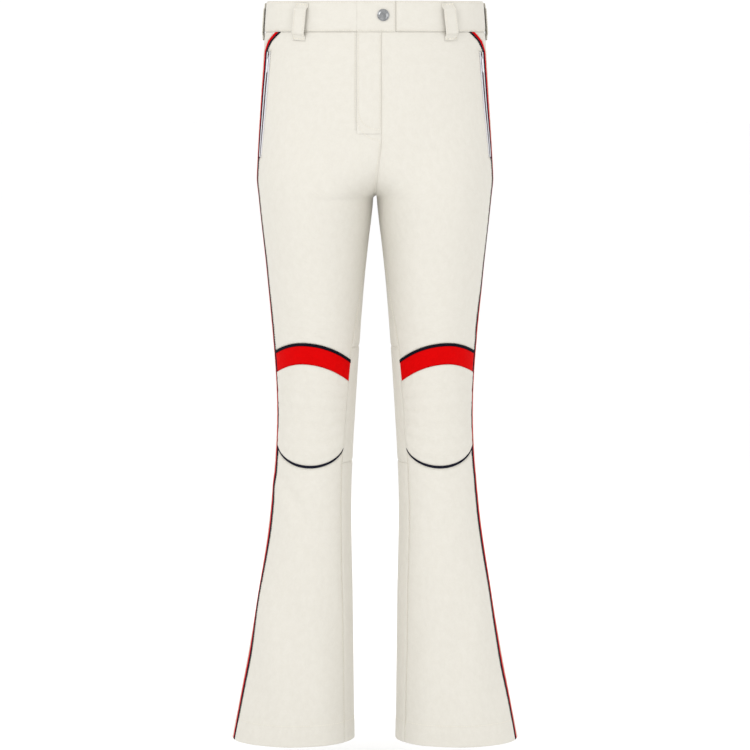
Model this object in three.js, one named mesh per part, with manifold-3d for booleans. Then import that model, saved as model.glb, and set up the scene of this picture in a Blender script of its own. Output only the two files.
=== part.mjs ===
// Women's flared ski pants: a waistband with a snap tab, a zipped fly under a flap, two zipped hip
// pockets, striped side seams, quilted knees and inner snow gaiters, cut as separate cloth pieces.
// Millimetres, +Z up, the front faces -Y and +X is the wearer's left.
// The origin is the centre of the waist opening, in the plane of the waistband's top edge.
import * as THREE from "three";
import { mergeVertices } from "three/addons/utils/BufferGeometryUtils.js";
import Module from "manifold-3d";

const wasm = await Module();
wasm.setup();

// Lengths down from the waist
const sideLength = 1088; // waistband top to hem
const inseam = 805; // crotch to hem
const riseHeight = 95; // the crotch seam curves over this height
const blendAbove = 50; // the hips' outline turns into the legs' from here above the rise
const blendBelow = 100; // to here below the crotch
const hipAboveCrotch = 30;
const thighBelowCrotch = 130;
const kneeAboveHem = 500;
const calfBelowKnee = 139;
const flareBelowKnee = 285; // the flare is in full swing from here down

// Widths and depths. A leg's inner width is its distance from the centre plane
const waistWidth = 315.5;
const waistFront = 86;
const waistBack = 88;
const hipWidth = 346;
const hipFront = 100;
const hipBack = 120;
const crotchWidth = 341;
const crotchGap = 2;
const crotchDepth = [98, 112];
const thighReach = [16, 157];
const thighDepth = [84, 88];
const kneeReach = [28.5, 144.5];
const kneeDepth = [63, 63];
const calfReach = [35, 152.5];
const calfDepth = [60, 68];
const flareReach = [33, 173];
const flareDepth = [66, 72];
const hemReach = [30.7, 212];
const hemDepth = [77, 80];

// Cloth
const clothThick = 1.6;
const seamGap = 0.3; // between two pieces that meet edge to edge
const layerGap = 1.2; // between two curved layers
const columnPitch = 20;
const bandPitch = 13;

// Waistband, tab and belt loops
const bandHeight = 45;
const bandThick = 4.4;
const facingThick = 1.4;
const tabThick = 2;
const tabReach = 30; // past the centre, towards the wearer's left
const tabHinge = 26; // the tab and the flap turn about a line this far to the wearer's right
const underlapDrop = 5.2; // behind the outer face, to leave room for the snap
const underlapReach = [18, 48];
const loopWidth = 20;
const loopHeight = 54;
const loopThick = 1.8;
const beltRoom = 5;
const loopFoot = 5;
const loopTop = 3; // below the top edge
const frontLoopAt = 110; // along the band from the centre front
const frontLoopLean = 6.3; // degrees
const sideLoopBack = 6;

// Snap
const snapAt = [11.8, 20.9]; // from the centre, down from the top edge
const snapRadius = 8.7;
const snapDome = 3.2;
const snapStem = 1.5;
const snapFit = 0.3;
const socketRadius = 6;
const studRadius = 2.7;
const studFit = 0.5;
const socketDepth = 2;
const snapPlate = 0.8;

// Fly
const flyEdge = 9.5; // the flap's edge, past the centre
const flapLength = 145; // below the band
const flapSeamEnd = 160; // below the band, where the centre seam starts to lean
const flyZipTop = 8; // below the band
const flyZipLength = 128;
const flyZipDrop = 9.2; // the zip's middle plane behind the outer face
const flyTapeHalf = 18;
const flyTapeRise = 4.9;
const flyFacing = [7, 40];
const flyFacingThick = 0.6;
const flyShield = [20, 48];
const flyShieldDrop = 12.7;
const shieldThick = 1.2;

// Side stripe and hip pocket
const stripeStart = 54; // the stripe's front edge, ahead of the side line, at the band
const stripeBend = 36;
const stripeAtPocket = 24;
const stripeOnLeg = 22;
const bendBelowBand = 13;
const stripeWidth = 7;
const pipingWidth = 4.5;
const pocketTop = 28; // below the band
const pocketLength = 153;
const pocketGap = 10;
const pocketZipDrop = 4.6;
const pocketTapeHalf = 9;
const bagReach = [3, 100]; // from the stripe's front edge
const bagLength = 225;
const bagDrop = 8;
const bagThick = 2.4;
const bagTopDrop = 0.8;

// Zips
const slotWidth = 1.6;
const toothWidth = 2;
const toothThick = 2;
const tapeThick = 0.8;
const tapeFlat = 6.5;
const tapeWing = 10;
const stopLength = 4;
const sliderFit = 0.4;
const sliderLength = 11;
const sliderWidth = 7.6;
const plateThick = 1.1;
const dividerThick = 0.7;
const finWidth = 1.6;
const finRadius = 1.9;
const pinRise = 2.4; // above the slider's plate
const pinRadius = 0.6;
const pinFit = 0.3;
const pullLength = 23;
const pullWidth = 5;
const pullThick = 1;
const armWidth = 1;

// Knee, measured as heights from the knee
const bandApex = 93.5; // top of the red band
const bandDropOuter = 15;
const bandDropInner = 27.5;
const apexAcross = 0.37; // share of the width from the outer edge
const kneeTrim = 4; // height of the piping strips
const kneeBandHeight = 26.5;
const panelFoot = 90; // lowest point of the knee panel
const panelFootRise = 29;
const kneeBackReach = 85;
const kneeColumns = 9;
const innerSeamShift = 42; // the inner seam lies this far forward of the inner line
const seamSettles = 65; // and has moved all the way this far above the knee line
const padThick = 1.8;
const padProud = 1.2;
const trimProud = 0.6;
const waddingThick = 3;
const waddingInset = 9;

// Hem and gaiter
const hemFacing = 35;
const gaiterTop = 205; // above the hem
const gaiterFoot = 40;
const gaiterThick = 1;
const gaiterDraw = 28; // how far the foot is drawn in
const gripHeight = 22;
const gripThick = 1;

const crotch = inseam - sideLength;
const hem = -sideLength;
const riseTop = crotch + riseHeight;
const knee = hem + kneeAboveHem;
const bandBottom = -bandHeight;
const flapBottom = bandBottom - flapLength;
const stepHalf = 0.4; // a notch's edge runs over twice this height
const flapStep = flapBottom - stepHalf - seamGap / 2;
const flyZipBottom = bandBottom - flyZipTop - flyZipLength;
const pocketStart = bandBottom - pocketTop;
const pocketEnd = pocketStart - pocketLength;

const stations = [
  { z: 0, reach: [0, waistWidth / 2], depth: [waistFront, waistBack] },
  { z: crotch + hipAboveCrotch, reach: [0, hipWidth / 2], depth: [hipFront, hipBack] },
  { z: crotch, reach: [crotchGap, crotchWidth / 2], depth: crotchDepth },
  { z: crotch - thighBelowCrotch, reach: thighReach, depth: thighDepth },
  { z: knee, reach: kneeReach, depth: kneeDepth },
  { z: knee - calfBelowKnee, reach: calfReach, depth: calfDepth },
  { z: knee - flareBelowKnee, reach: flareReach, depth: flareDepth },
  { z: hem, reach: hemReach, depth: hemDepth },
];

const mix = (a, b, t) => a + (b - a) * t;
const clamp = (t) => Math.min(1, Math.max(0, t));
const ease = (t) => clamp(t) ** 2 * (3 - 2 * clamp(t));

// A smooth curve through one value of every station, read at height z.
function stationValue(read, z) {
  const last = stations.length - 1;
  let i = 0;
  while (i < last - 1 && z < stations[i + 1].z) i++;
  const slope = (j, k) => (read(stations[k]) - read(stations[j])) / (stations[k].z - stations[j].z);
  const span = stations[i + 1].z - stations[i].z;
  const t = (z - stations[i].z) / span;
  const m0 = slope(Math.max(i - 1, 0), i + 1) * span;
  const m1 = slope(i, Math.min(i + 2, last)) * span;
  const a = read(stations[i]);
  const b = read(stations[i + 1]);
  const tt = t * t;
  const ttt = tt * t;
  return (2 * ttt - 3 * tt + 1) * a + (ttt - 2 * tt + t) * m0 + (3 * tt - 2 * ttt) * b + (ttt - tt) * m1;
}

// 0 where one outline runs round both hips, 1 where each leg has its own. The inner end follows
// the curve of the crotch seam, and the outer side changes over a longer height.
function seamShare(z) {
  const s = clamp((riseTop - z) / riseHeight);
  return 1 - Math.sqrt(1 - s * s);
}

function sideShare(z) {
  const start = riseTop + blendAbove;
  return ease((start - z) / (start - crotch + blendBelow));
}

const sections = new Map();
const sectionSteps = 48;
const shareFrom = 0.35; // the outer side's share holds from the side line to here
const shareFill = 0.54; // keeps the depth while one outline turns into the other

// The outline of one side at height z. Turn runs from -1 at the back's inner end through 0 at the
// side line to 1 at the front's inner end. Girth is the same walk in millimetres.
function sectionAt(z) {
  const key = z.toFixed(4);
  if (sections.has(key)) return sections.get(key);
  const inner = stationValue((s) => s.reach[0], z);
  const outer = stationValue((s) => s.reach[1], z);
  const front = stationValue((s) => s.depth[0], z);
  const back = stationValue((s) => s.depth[1], z);
  const onLeg = z <= crotch;
  const [outerShare, innerShare] = [sideShare(z), seamShare(z)];
  const half = (outer - inner) / 2;
  const point = (turn) => {
    const along = Math.abs(turn);
    const quarter = (along * Math.PI) / 2;
    const share = mix(outerShare, innerShare, ease((along - shareFrom) / (1 - shareFrom)));
    const fill = 1 + shareFill * share * (1 - share);
    const depth = (turn > 0 ? -front : back) * fill;
    const x = mix(outer * Math.cos(quarter), inner + half + half * Math.cos(2 * quarter), share);
    return [x, depth * mix(Math.sin(quarter), Math.sin(2 * quarter), share)];
  };
  const walk = (sign) => {
    const lengths = [0];
    for (let i = 1; i <= sectionSteps; i++) {
      const [ax, ay] = point((sign * (i - 1)) / sectionSteps);
      const [bx, by] = point((sign * i) / sectionSteps);
      lengths.push(lengths[i - 1] + Math.hypot(bx - ax, by - ay));
    }
    return lengths;
  };
  const frontWalk = walk(1);
  const backWalk = walk(-1);
  const section = { point, onLeg, frontWalk, backWalk };
  section.front = frontWalk[sectionSteps];
  section.back = backWalk[sectionSteps];
  sections.set(key, section);
  return section;
}

const frontGirth = (z) => sectionAt(z).front;
const backGirth = (z) => sectionAt(z).back;

function turnAt(lengths, girth) {
  let i = 1;
  while (i < sectionSteps && lengths[i] < girth) i++;
  return (i - 1 + (girth - lengths[i - 1]) / (lengths[i] - lengths[i - 1])) / sectionSteps;
}

// A point of the outer skin moved out by offset. Girth past an inner end goes on round it: across
// the centre plane at the hips, round the inner side of the leg below the crotch.
function skinPoint(side, girth, z, offset = 0) {
  const section = sectionAt(z);
  const onLeg = section.onLeg;
  let along = girth;
  let hand = side;
  if (along > section.front) {
    hand = onLeg ? side : -side;
    along = onLeg ? along - section.front - section.back : 2 * section.front - along;
  } else if (along < -section.back) {
    hand = onLeg ? side : -side;
    along = onLeg ? along + section.front + section.back : -2 * section.back - along;
  }
  const turn = along >= 0 ? turnAt(section.frontWalk, along) : -turnAt(section.backWalk, -along);
  const [x, y] = section.point(turn);
  const step = 1e-3;
  const [ax, ay] = section.point(turn - (turn > 0 ? step : 0));
  const [bx, by] = section.point(turn + (turn > 0 ? 0 : step));
  const size = Math.hypot(bx - ax, by - ay);
  const nx = -(by - ay) / size;
  const ny = (bx - ax) / size;
  return new THREE.Vector3(hand * (x + offset * nx), y + offset * ny, z);
}

function outward(side, girth, z) {
  return skinPoint(side, girth, z, 1).sub(skinPoint(side, girth, z)).normalize();
}

// The heights at which every cloth piece has a row of points.
function levels(top, bottom) {
  const all = [];
  const hipRows = 4;
  const riseRows = 6;
  const legRows = 15;
  for (let i = 1; i <= hipRows; i++) all.push(mix(bandBottom, riseTop, i / hipRows));
  for (let i = 1; i <= riseRows; i++) {
    all.push(riseTop - riseHeight * Math.sin(((i / riseRows) * Math.PI) / 2));
  }
  for (let i = 1; i < legRows; i++) all.push(mix(crotch, hem, i / legRows));
  return all.filter((z) => z < top - 3 && z > bottom + 3);
}

function geometryOf(points, faces) {
  const geometry = new THREE.BufferGeometry();
  geometry.setAttribute("position", new THREE.Float32BufferAttribute(points, 3));
  let volume = 0;
  const corner = (i) => new THREE.Vector3().fromArray(points, 3 * i);
  for (const [a, b, c] of faces) volume += corner(a).dot(corner(b).cross(corner(c)));
  geometry.setIndex(faces.flatMap(([a, b, c]) => (volume > 0 ? [a, b, c] : [a, c, b])));
  geometry.computeVertexNormals();
  return geometry;
}

// One piece of cloth: a closed sheet between two girth edges, through rows of heights from top to
// bottom. A row is a height or a function of the share across, and drop is how far the piece's
// outer face lies behind the skin. Every edge stands back by half a seam gap.
function sheet({ side, from, to, rows, drop = 0, thick = clothThick, pitch = columnPitch, columns }) {
  const heightAt = (row, p) => (typeof row === "function" ? row(p) : row);
  const last = rows.length - 1;
  const spans = rows.map((row) => Math.abs(to(heightAt(row, 0.5)) - from(heightAt(row, 0.5))));
  const count = columns ?? Math.ceil(Math.max(...spans) / pitch);
  const width = count + 1;
  const points = [];
  for (const inset of [0, thick]) {
    rows.forEach((row, i) => {
      const trim = i === 0 ? -seamGap / 2 : i === last ? seamGap / 2 : 0;
      for (let j = 0; j <= count; j++) {
        const p = j / count;
        const z = heightAt(row, p) + trim;
        const inwards = (Math.sign(to(z) - from(z)) * seamGap) / 2;
        const girth = mix(from(z) + inwards, to(z) - inwards, p);
        const depth = typeof drop === "function" ? drop(z, p) : drop;
        points.push(...skinPoint(side, girth, z, -depth - inset).toArray());
      }
    });
  }
  const back = rows.length * width;
  const at = (i, j) => i * width + j;
  const faces = [];
  const quad = (a, b, c, d) => faces.push([a, b, c], [a, c, d]);
  for (let i = 0; i < last; i++) {
    for (let j = 0; j < count; j++) {
      quad(at(i, j), at(i + 1, j), at(i + 1, j + 1), at(i, j + 1));
      quad(back + at(i, j), back + at(i, j + 1), back + at(i + 1, j + 1), back + at(i + 1, j));
    }
    quad(at(i, 0), back + at(i, 0), back + at(i + 1, 0), at(i + 1, 0));
    quad(at(i, count), at(i + 1, count), back + at(i + 1, count), back + at(i, count));
  }
  for (let j = 0; j < count; j++) {
    quad(at(0, j), at(0, j + 1), back + at(0, j + 1), back + at(0, j));
    quad(at(last, j), back + at(last, j), back + at(last, j + 1), at(last, j + 1));
  }
  return geometryOf(points, faces);
}

function solid(geometry, matrix = new THREE.Matrix4()) {
  const bare = new THREE.BufferGeometry();
  bare.setAttribute("position", geometry.getAttribute("position").clone());
  if (geometry.index) bare.setIndex(geometry.index);
  const merged = mergeVertices(bare.applyMatrix4(matrix), 1e-4);
  return new wasm.Manifold(
    new wasm.Mesh({
      numProp: 3,
      vertProperties: merged.attributes.position.array,
      triVerts: new Uint32Array(merged.index.array),
    }),
  );
}

function geometryFrom(manifold) {
  const mesh = manifold.getMesh();
  const geometry = new THREE.BufferGeometry();
  geometry.setAttribute("position", new THREE.Float32BufferAttribute(mesh.vertProperties, 3));
  geometry.setIndex(Array.from(mesh.triVerts));
  geometry.computeVertexNormals();
  return geometry;
}

const joined = (solids) => geometryFrom(solids.reduce((a, b) => a.add(b)));

function block(x0, x1, y0, y1, z0, z1) {
  const box = new THREE.BoxGeometry(x1 - x0, y1 - y0, z1 - z0);
  return solid(box.translate((x0 + x1) / 2, (y0 + y1) / 2, (z0 + z1) / 2));
}

const pants = new THREE.Group();

const cream = { color: 0xeeeadf, roughness: 0.85, metalness: 0 };
const lining = { color: 0xe4dfd2, roughness: 0.9, metalness: 0 };
const red = { color: 0xd2060c, roughness: 0.8, metalness: 0 };
const navy = { color: 0x23263a, roughness: 0.8, metalness: 0 };
const white = { color: 0xf2f2f4, roughness: 0.6, metalness: 0 };
const silver = { color: 0xb9bcc0, roughness: 0.3, metalness: 1 };
const rubber = { color: 0xdcdcd8, roughness: 0.7, metalness: 0 };

function add(name, geometry, finish, place) {
  const mesh = new THREE.Mesh(geometry, new THREE.MeshStandardMaterial(finish));
  mesh.name = name;
  if (place) place.decompose(mesh.position, mesh.quaternion, mesh.scale);
  pants.add(mesh);
}

// A frame on the skin: Y points outward, Z up along the skin, and the origin lies drop behind it.
function frameBetween(top, bottom, normal, drop) {
  const up = top.clone().sub(bottom).normalize();
  const out = normal.clone().addScaledVector(up, -normal.dot(up)).normalize();
  const across = out.clone().cross(up);
  const origin = top.clone().addScaledVector(out, -drop);
  return new THREE.Matrix4().makeBasis(across, out, up).setPosition(origin);
}

function frameOnSkin(side, girth, z, reach) {
  const at = (dz) => skinPoint(side, girth(z + dz), z + dz);
  const frame = frameBetween(at(reach), at(-reach), outward(side, girth(z), z), 0);
  return frame.setPosition(at(reach).add(at(-reach)).multiplyScalar(0.5));
}

// Half of a zip's cross-section, hand is 1 or -1: a row of teeth, flat tape and a raised wing.
function tapeHalf(hand, halfWidth, rise) {
  const tooth = slotWidth / 2 + toothWidth;
  const t = tapeThick / 2;
  const wing = Math.min(tapeWing, halfWidth);
  const outline = [
    [slotWidth / 2, -toothThick / 2],
    [tooth, -toothThick / 2],
    [tooth, -t],
    [tapeFlat, -t],
    [wing, rise - t],
    [halfWidth, rise - t],
    [halfWidth, rise + t],
    [wing, rise + t],
    [tapeFlat, t],
    [tooth, t],
    [tooth, toothThick / 2],
    [slotWidth / 2, toothThick / 2],
  ];
  return new THREE.Shape(outline.map(([x, y]) => new THREE.Vector2(hand * x, y)));
}

// Zip tape with its teeth, in a frame whose origin is the slider's top at rest.
function zipTape(length, halfWidth, rise) {
  const bottom = -length - stopLength;
  const sides = [1, -1].map((hand) => {
    const strip = new THREE.ExtrudeGeometry(tapeHalf(hand, halfWidth, rise), {
      depth: -bottom,
      bevelEnabled: false,
    });
    return solid(strip.translate(0, 0, bottom));
  });
  const tooth = slotWidth / 2 + toothWidth;
  const stop = block(-tooth, tooth, -toothThick / 2, toothThick / 2, bottom, bottom + stopLength);
  return joined([...sides, stop]);
}

const plateIn = toothThick / 2 + sliderFit;
const plateOut = plateIn + plateThick;
const pinHeight = plateOut + pinRise;
const pinDown = sliderLength * 0.4;

// Slider: two plates joined through the slot, with a fin that carries the pull.
function zipSlider() {
  const half = sliderWidth / 2;
  const top = block(-half, half, plateIn, plateOut, -sliderLength, 0);
  const under = block(-half, half, -plateOut, -plateIn, -sliderLength, 0);
  const divider = block(-dividerThick / 2, dividerThick / 2, -plateOut, plateOut, -sliderLength, 0);
  const fin = new THREE.Shape();
  fin.absarc(0, 0, finRadius, 0, Math.PI, false);
  fin.lineTo(-finRadius, plateOut - pinHeight - plateThick / 2);
  fin.lineTo(finRadius, plateOut - pinHeight - plateThick / 2);
  fin.holes.push(new THREE.Path().absarc(0, 0, pinRadius + pinFit, 0, 2 * Math.PI, true));
  const plate = new THREE.ExtrudeGeometry(fin, { depth: finWidth, bevelEnabled: false, curveSegments: 10 });
  const stand = new THREE.Matrix4().makeBasis(
    new THREE.Vector3(0, 0, 1),
    new THREE.Vector3(0, 1, 0),
    new THREE.Vector3(-1, 0, 0),
  );
  stand.setPosition(finWidth / 2, pinHeight, -pinDown);
  return joined([top, under, divider, solid(plate, stand)]);
}

// Pull, with its origin on the pin: the pin, two arms beside the fin and a tapered tab.
function zipPull() {
  const half = pullWidth / 2;
  const t = pullThick / 2;
  const armDown = finRadius + pinFit + 0.6;
  const pin = new THREE.CylinderGeometry(pinRadius, pinRadius, pullWidth, 12).rotateZ(Math.PI / 2);
  const arms = [half - armWidth, -half].map((x) => block(x, x + armWidth, -t, t, -armDown - 1, t));
  const tab = new THREE.Shape();
  tab.moveTo(-half, -armDown);
  tab.lineTo(-half, half - pullLength);
  tab.absarc(0, half - pullLength, half, Math.PI, 2 * Math.PI, false);
  tab.lineTo(half, -armDown);
  const plate = new THREE.ExtrudeGeometry(tab, { depth: pullThick, bevelEnabled: false, curveSegments: 8 });
  return joined([solid(pin), ...arms, solid(plate.rotateX(Math.PI / 2).translate(0, t, 0))]);
}

// A whole zip with its first row at the frame's origin.
function addZip(name, frame, length, halfWidth, rise) {
  add(name + "_zip", zipTape(length, halfWidth, rise), white, frame);
  add(name + "_slider", zipSlider(), silver, frame);
  const hang = new THREE.Matrix4().makeTranslation(0, pinHeight, -pinDown);
  add(name + "_pull", zipPull(), white, frame.clone().multiply(hang));
}

// Distance of the stripe's front edge ahead of the side line.
function stripeEdge(z) {
  const bend = bandBottom - bendBelowBand;
  if (z > bend) return mix(stripeStart, stripeBend, (bandBottom - z) / bendBelowBand);
  if (z > pocketStart) return mix(stripeBend, stripeAtPocket, (bend - z) / (bend - pocketStart));
  return mix(stripeAtPocket, stripeOnLeg, clamp((pocketStart - z) / pocketLength));
}

const stripeBack = (z) => stripeEdge(z) - pipingWidth - stripeWidth;
const inPocket = (z) => z < pocketStart && z > pocketEnd;
const stripeRows = [bandBottom - bendBelowBand, pocketStart];
const frontStart = (z) => stripeEdge(z) + (inPocket(z) ? pocketGap : 0);

// The centre seam leans from the flap's edge line back to the centre plane at the crotch.
function centreShift(z) {
  const start = bandBottom - flapSeamEnd;
  return z > start ? flyEdge : flyEdge * (1 - clamp((start - z) / (start - crotch)));
}

// How far the inner leg seam lies forward of the inner line.
function innerShift(z) {
  return innerSeamShift * ease((crotch - z) / (crotch - knee - seamSettles));
}

const innerSeam = (z) => frontGirth(z) - innerShift(z);
const innerSeamFromBack = (z) => -backGirth(z) - innerShift(z);

// Share of the front's visible width at each point across, at the knee.
function acrossKnee(p) {
  const x = (q) => skinPoint(1, mix(frontStart(knee), innerSeam(knee), q), knee).x;
  return (x(0) - x(p)) / (x(0) - x(1));
}

function bandTop(p) {
  const t = acrossKnee(p);
  const outer = bandDropOuter * (Math.max(0, apexAcross - t) / apexAcross) ** 2;
  const inner = bandDropInner * (Math.max(0, t - apexAcross) / (1 - apexAcross)) ** 2;
  return knee + bandApex - outer - inner;
}

function panelBottom(p) {
  const t = 2 * acrossKnee(p) - 1;
  return knee - panelFoot + panelFootRise * (1 - Math.sqrt(Math.max(0, 1 - t * t)));
}

const below = (curve, distance) => (p) => curve(p) - distance;
const between = (a, b, t) => (p) => mix(a(p), b(p), t);

// Rows with more heights put in, and with a pair of rows close round each step of an edge.
function withRows(rows, ...heights) {
  const kept = rows.filter((row) => heights.every((z) => Math.abs(z - row) > 2));
  return [...kept, ...heights].sort((a, b) => b - a);
}

function notched(rows, ...heights) {
  const kept = rows.filter((row) => heights.every((z) => Math.abs(z - row) > 2));
  return withRows(kept, ...heights.flatMap((z) => [z + stepHalf, z - stepHalf]));
}

function addUpperLeg(side, name) {
  const right = side < 0;
  const centre = (z) => {
    if (z < crotch) return innerSeam(z);
    if (!right) return frontGirth(z) - centreShift(z);
    return z > flapStep ? frontGirth(z) - tabHinge : frontGirth(z) + centreShift(z);
  };
  const lastRow = knee + bandApex + 15;
  const plain = withRows(levels(bandBottom, lastRow), stripeRows[0]);
  const steps = right ? [pocketStart, pocketEnd, flapStep] : [pocketStart, pocketEnd];
  const kneeBackTop = (lastRow - knee - kneeBackReach) / (lastRow - bandTop(1));
  const seamRow = (p) => mix(lastRow, bandTop(p), kneeBackTop);
  const frontRows = [bandBottom, ...notched(plain, ...steps), lastRow, seamRow, bandTop];
  const front = { side, from: frontStart, to: centre, rows: frontRows, columns: kneeColumns };
  add(name + "_front_thigh", sheet(front), cream);
  const backEnd = (z) => (z > crotch ? -backGirth(z) : innerSeamFromBack(z));
  const backBottom = knee + kneeBackReach;
  const backRows = [bandBottom, ...withRows(levels(bandBottom, backBottom), ...stripeRows), backBottom];
  add(name + "_back_thigh", sheet({ side, from: stripeBack, to: backEnd, rows: backRows }), cream);
}

function addStripe(side, name) {
  const rows = [bandBottom, ...withRows(levels(bandBottom, hem), ...stripeRows), hem - seamGap / 2];
  const seam = (z) => stripeEdge(z) - pipingWidth;
  add(name + "_side_stripe", sheet({ side, from: stripeBack, to: seam, rows }), red);
  add(name + "_side_piping", sheet({ side, from: seam, to: stripeEdge, rows }), navy);
}

function addPocket(side, name) {
  const middle = (z) => stripeEdge(z) + pocketGap / 2;
  const top = pocketStart - 3;
  const bottom = pocketEnd + 3 + stopLength;
  const normal = outward(side, middle(top), top).add(outward(side, middle(bottom), bottom));
  const onSkin = (z) => skinPoint(side, middle(z), z);
  const frame = frameBetween(onSkin(top), onSkin(bottom), normal, pocketZipDrop);
  addZip(name + "_pocket", frame, top - bottom, pocketTapeHalf, 0);
  const start = bandBottom - 1;
  const end = start - bagLength;
  const drop = (z) => clothThick + mix(bagTopDrop, bagDrop, ease((start - z) / pocketTop));
  const rows = [start, ...levels(start, start - 18), start - 9, start - 18, pocketStart];
  rows.push(...levels(pocketStart, end), end);
  const from = (z) => stripeEdge(z) + bagReach[0];
  const to = () => stripeEdge(pocketEnd) + bagReach[1];
  add(name + "_pocket_bag", sheet({ side, from, to, rows, drop, thick: bagThick }), lining);
}

function addKnee(side, name) {
  const from = stripeEdge;
  const to = innerSeam;
  const redTop = below(bandTop, kneeTrim);
  const redBottom = below(redTop, kneeBandHeight);
  const panelEnd = (p) => panelBottom(p) + kneeTrim;
  const padRows = [0, 1, 2, 3, 4, 5, 6].map((i) => between(redBottom, panelEnd, i / 6));
  const columns = kneeColumns;
  const proud = { side, from, to, columns, drop: -trimProud, thick: clothThick + trimProud };
  add(name + "_knee_piping_top", sheet({ ...proud, rows: [bandTop, redTop] }), navy);
  add(name + "_knee_band", sheet({ side, from, to, columns, rows: [redTop, redBottom] }), red);
  const pad = { side, from, to, columns, rows: padRows, drop: -padProud, thick: padThick };
  add(name + "_knee_panel", sheet(pad), cream);
  add(name + "_knee_piping_bottom", sheet({ ...proud, rows: [panelEnd, panelBottom] }), navy);
  const inFrom = (z) => from(z) + waddingInset;
  const inTo = (z) => to(z) - waddingInset;
  const inTop = below(redBottom, waddingInset);
  const inBottom = below(panelEnd, -waddingInset);
  const inRows = [0, 1, 2, 3, 4].map((i) => between(inTop, inBottom, i / 4));
  const drop = padThick - padProud + layerGap;
  const wadding = { side, from: inFrom, to: inTo, rows: inRows, drop, thick: waddingThick };
  add(name + "_knee_wadding", sheet(wadding), lining);
  const top = knee + kneeBackReach;
  const bottom = knee - kneeBackReach;
  const rows = [top, ...levels(top, bottom), bottom];
  add(name + "_knee_back", sheet({ side, from: stripeBack, to: innerSeamFromBack, rows }), cream);
}

function addShin(side, name) {
  const firstRow = knee - panelFoot - 15;
  const end = hem - seamGap / 2;
  const rows = [panelBottom, firstRow, ...levels(firstRow, hem), end];
  const front = { side, from: stripeEdge, to: innerSeam, rows, columns: kneeColumns };
  add(name + "_front_shin", sheet(front), cream);
  const top = knee - kneeBackReach;
  const backRows = [top, ...levels(top, hem), end];
  const back = { side, from: stripeBack, to: innerSeamFromBack, rows: backRows };
  add(name + "_back_shin", sheet(back), cream);
}

function addCuff(side, name) {
  const ring = { side, from: (z) => -backGirth(z), to: frontGirth };
  const under = clothThick + layerGap;
  const facingRows = [hem + hemFacing, hem - seamGap / 2];
  add(name + "_hem_facing", sheet({ ...ring, rows: facingRows, drop: under, thick: 1 }), lining);
  const top = hem + gaiterTop;
  const foot = hem + gaiterFoot;
  const drop = (z) => under + gaiterDraw * ease((top - z) / (top - foot));
  const rows = [top, ...levels(top, foot), foot];
  add(name + "_gaiter", sheet({ ...ring, rows, drop, thick: gaiterThick }), lining);
  const gripTop = foot + gripHeight;
  const gripDrop = (z) => drop(z) + gaiterThick + layerGap;
  const grip = { ...ring, rows: [gripTop, foot], drop: gripDrop, thick: gripThick };
  add(name + "_gaiter_grip", sheet(grip), rubber);
}

function addWaist() {
  const rows = [seamGap / 2, bandBottom];
  const centreBack = (z) => -backGirth(z);
  const rightEnd = (z) => frontGirth(z) - tabHinge;
  const leftEnd = (z) => frontGirth(z) - tabReach;
  const band = { rows, thick: bandThick, from: centreBack, pitch: bandPitch };
  add("waistband_right", sheet({ ...band, side: -1, to: rightEnd }), cream);
  add("waistband_left", sheet({ ...band, side: 1, to: leftEnd }), cream);
  const facing = {
    side: 1,
    rows,
    from: (z) => frontGirth(z) - underlapReach[1],
    to: (z) => -2 * backGirth(z) - frontGirth(z) + underlapReach[0],
    drop: underlapDrop,
    thick: facingThick,
    pitch: bandPitch,
  };
  add("waistband_facing", sheet(facing), lining);
  const post = snapFrame();
  const punch = (z0) => {
    const pin = new THREE.CylinderGeometry(snapStem + snapFit, snapStem + snapFit, 8, 24);
    return solid(pin, post.clone().multiply(new THREE.Matrix4().makeTranslation(0, z0, 0)));
  };
  const tab = sheet({
    side: 1,
    rows,
    from: (z) => frontGirth(z) + tabHinge,
    to: leftEnd,
    thick: tabThick,
    pitch: 8,
  });
  add("waist_tab", geometryFrom(solid(tab).subtract(punch(0))), cream);
  const underlap = sheet({
    side: 1,
    rows,
    from: (z) => frontGirth(z) + underlapReach[0],
    to: (z) => frontGirth(z) - underlapReach[1],
    drop: underlapDrop,
    thick: facingThick,
    pitch: 8,
  });
  add("waist_underlap", geometryFrom(solid(underlap).subtract(punch(-underlapDrop))), cream);
}

function snapFrame() {
  const girth = (z) => frontGirth(z) - snapAt[0];
  return frameOnSkin(1, girth, -snapAt[1], snapRadius);
}

function turned(profile) {
  const points = profile.map(([r, y]) => new THREE.Vector2(r, y));
  return geometryFrom(solid(new THREE.LatheGeometry(points, 28)));
}

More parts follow.
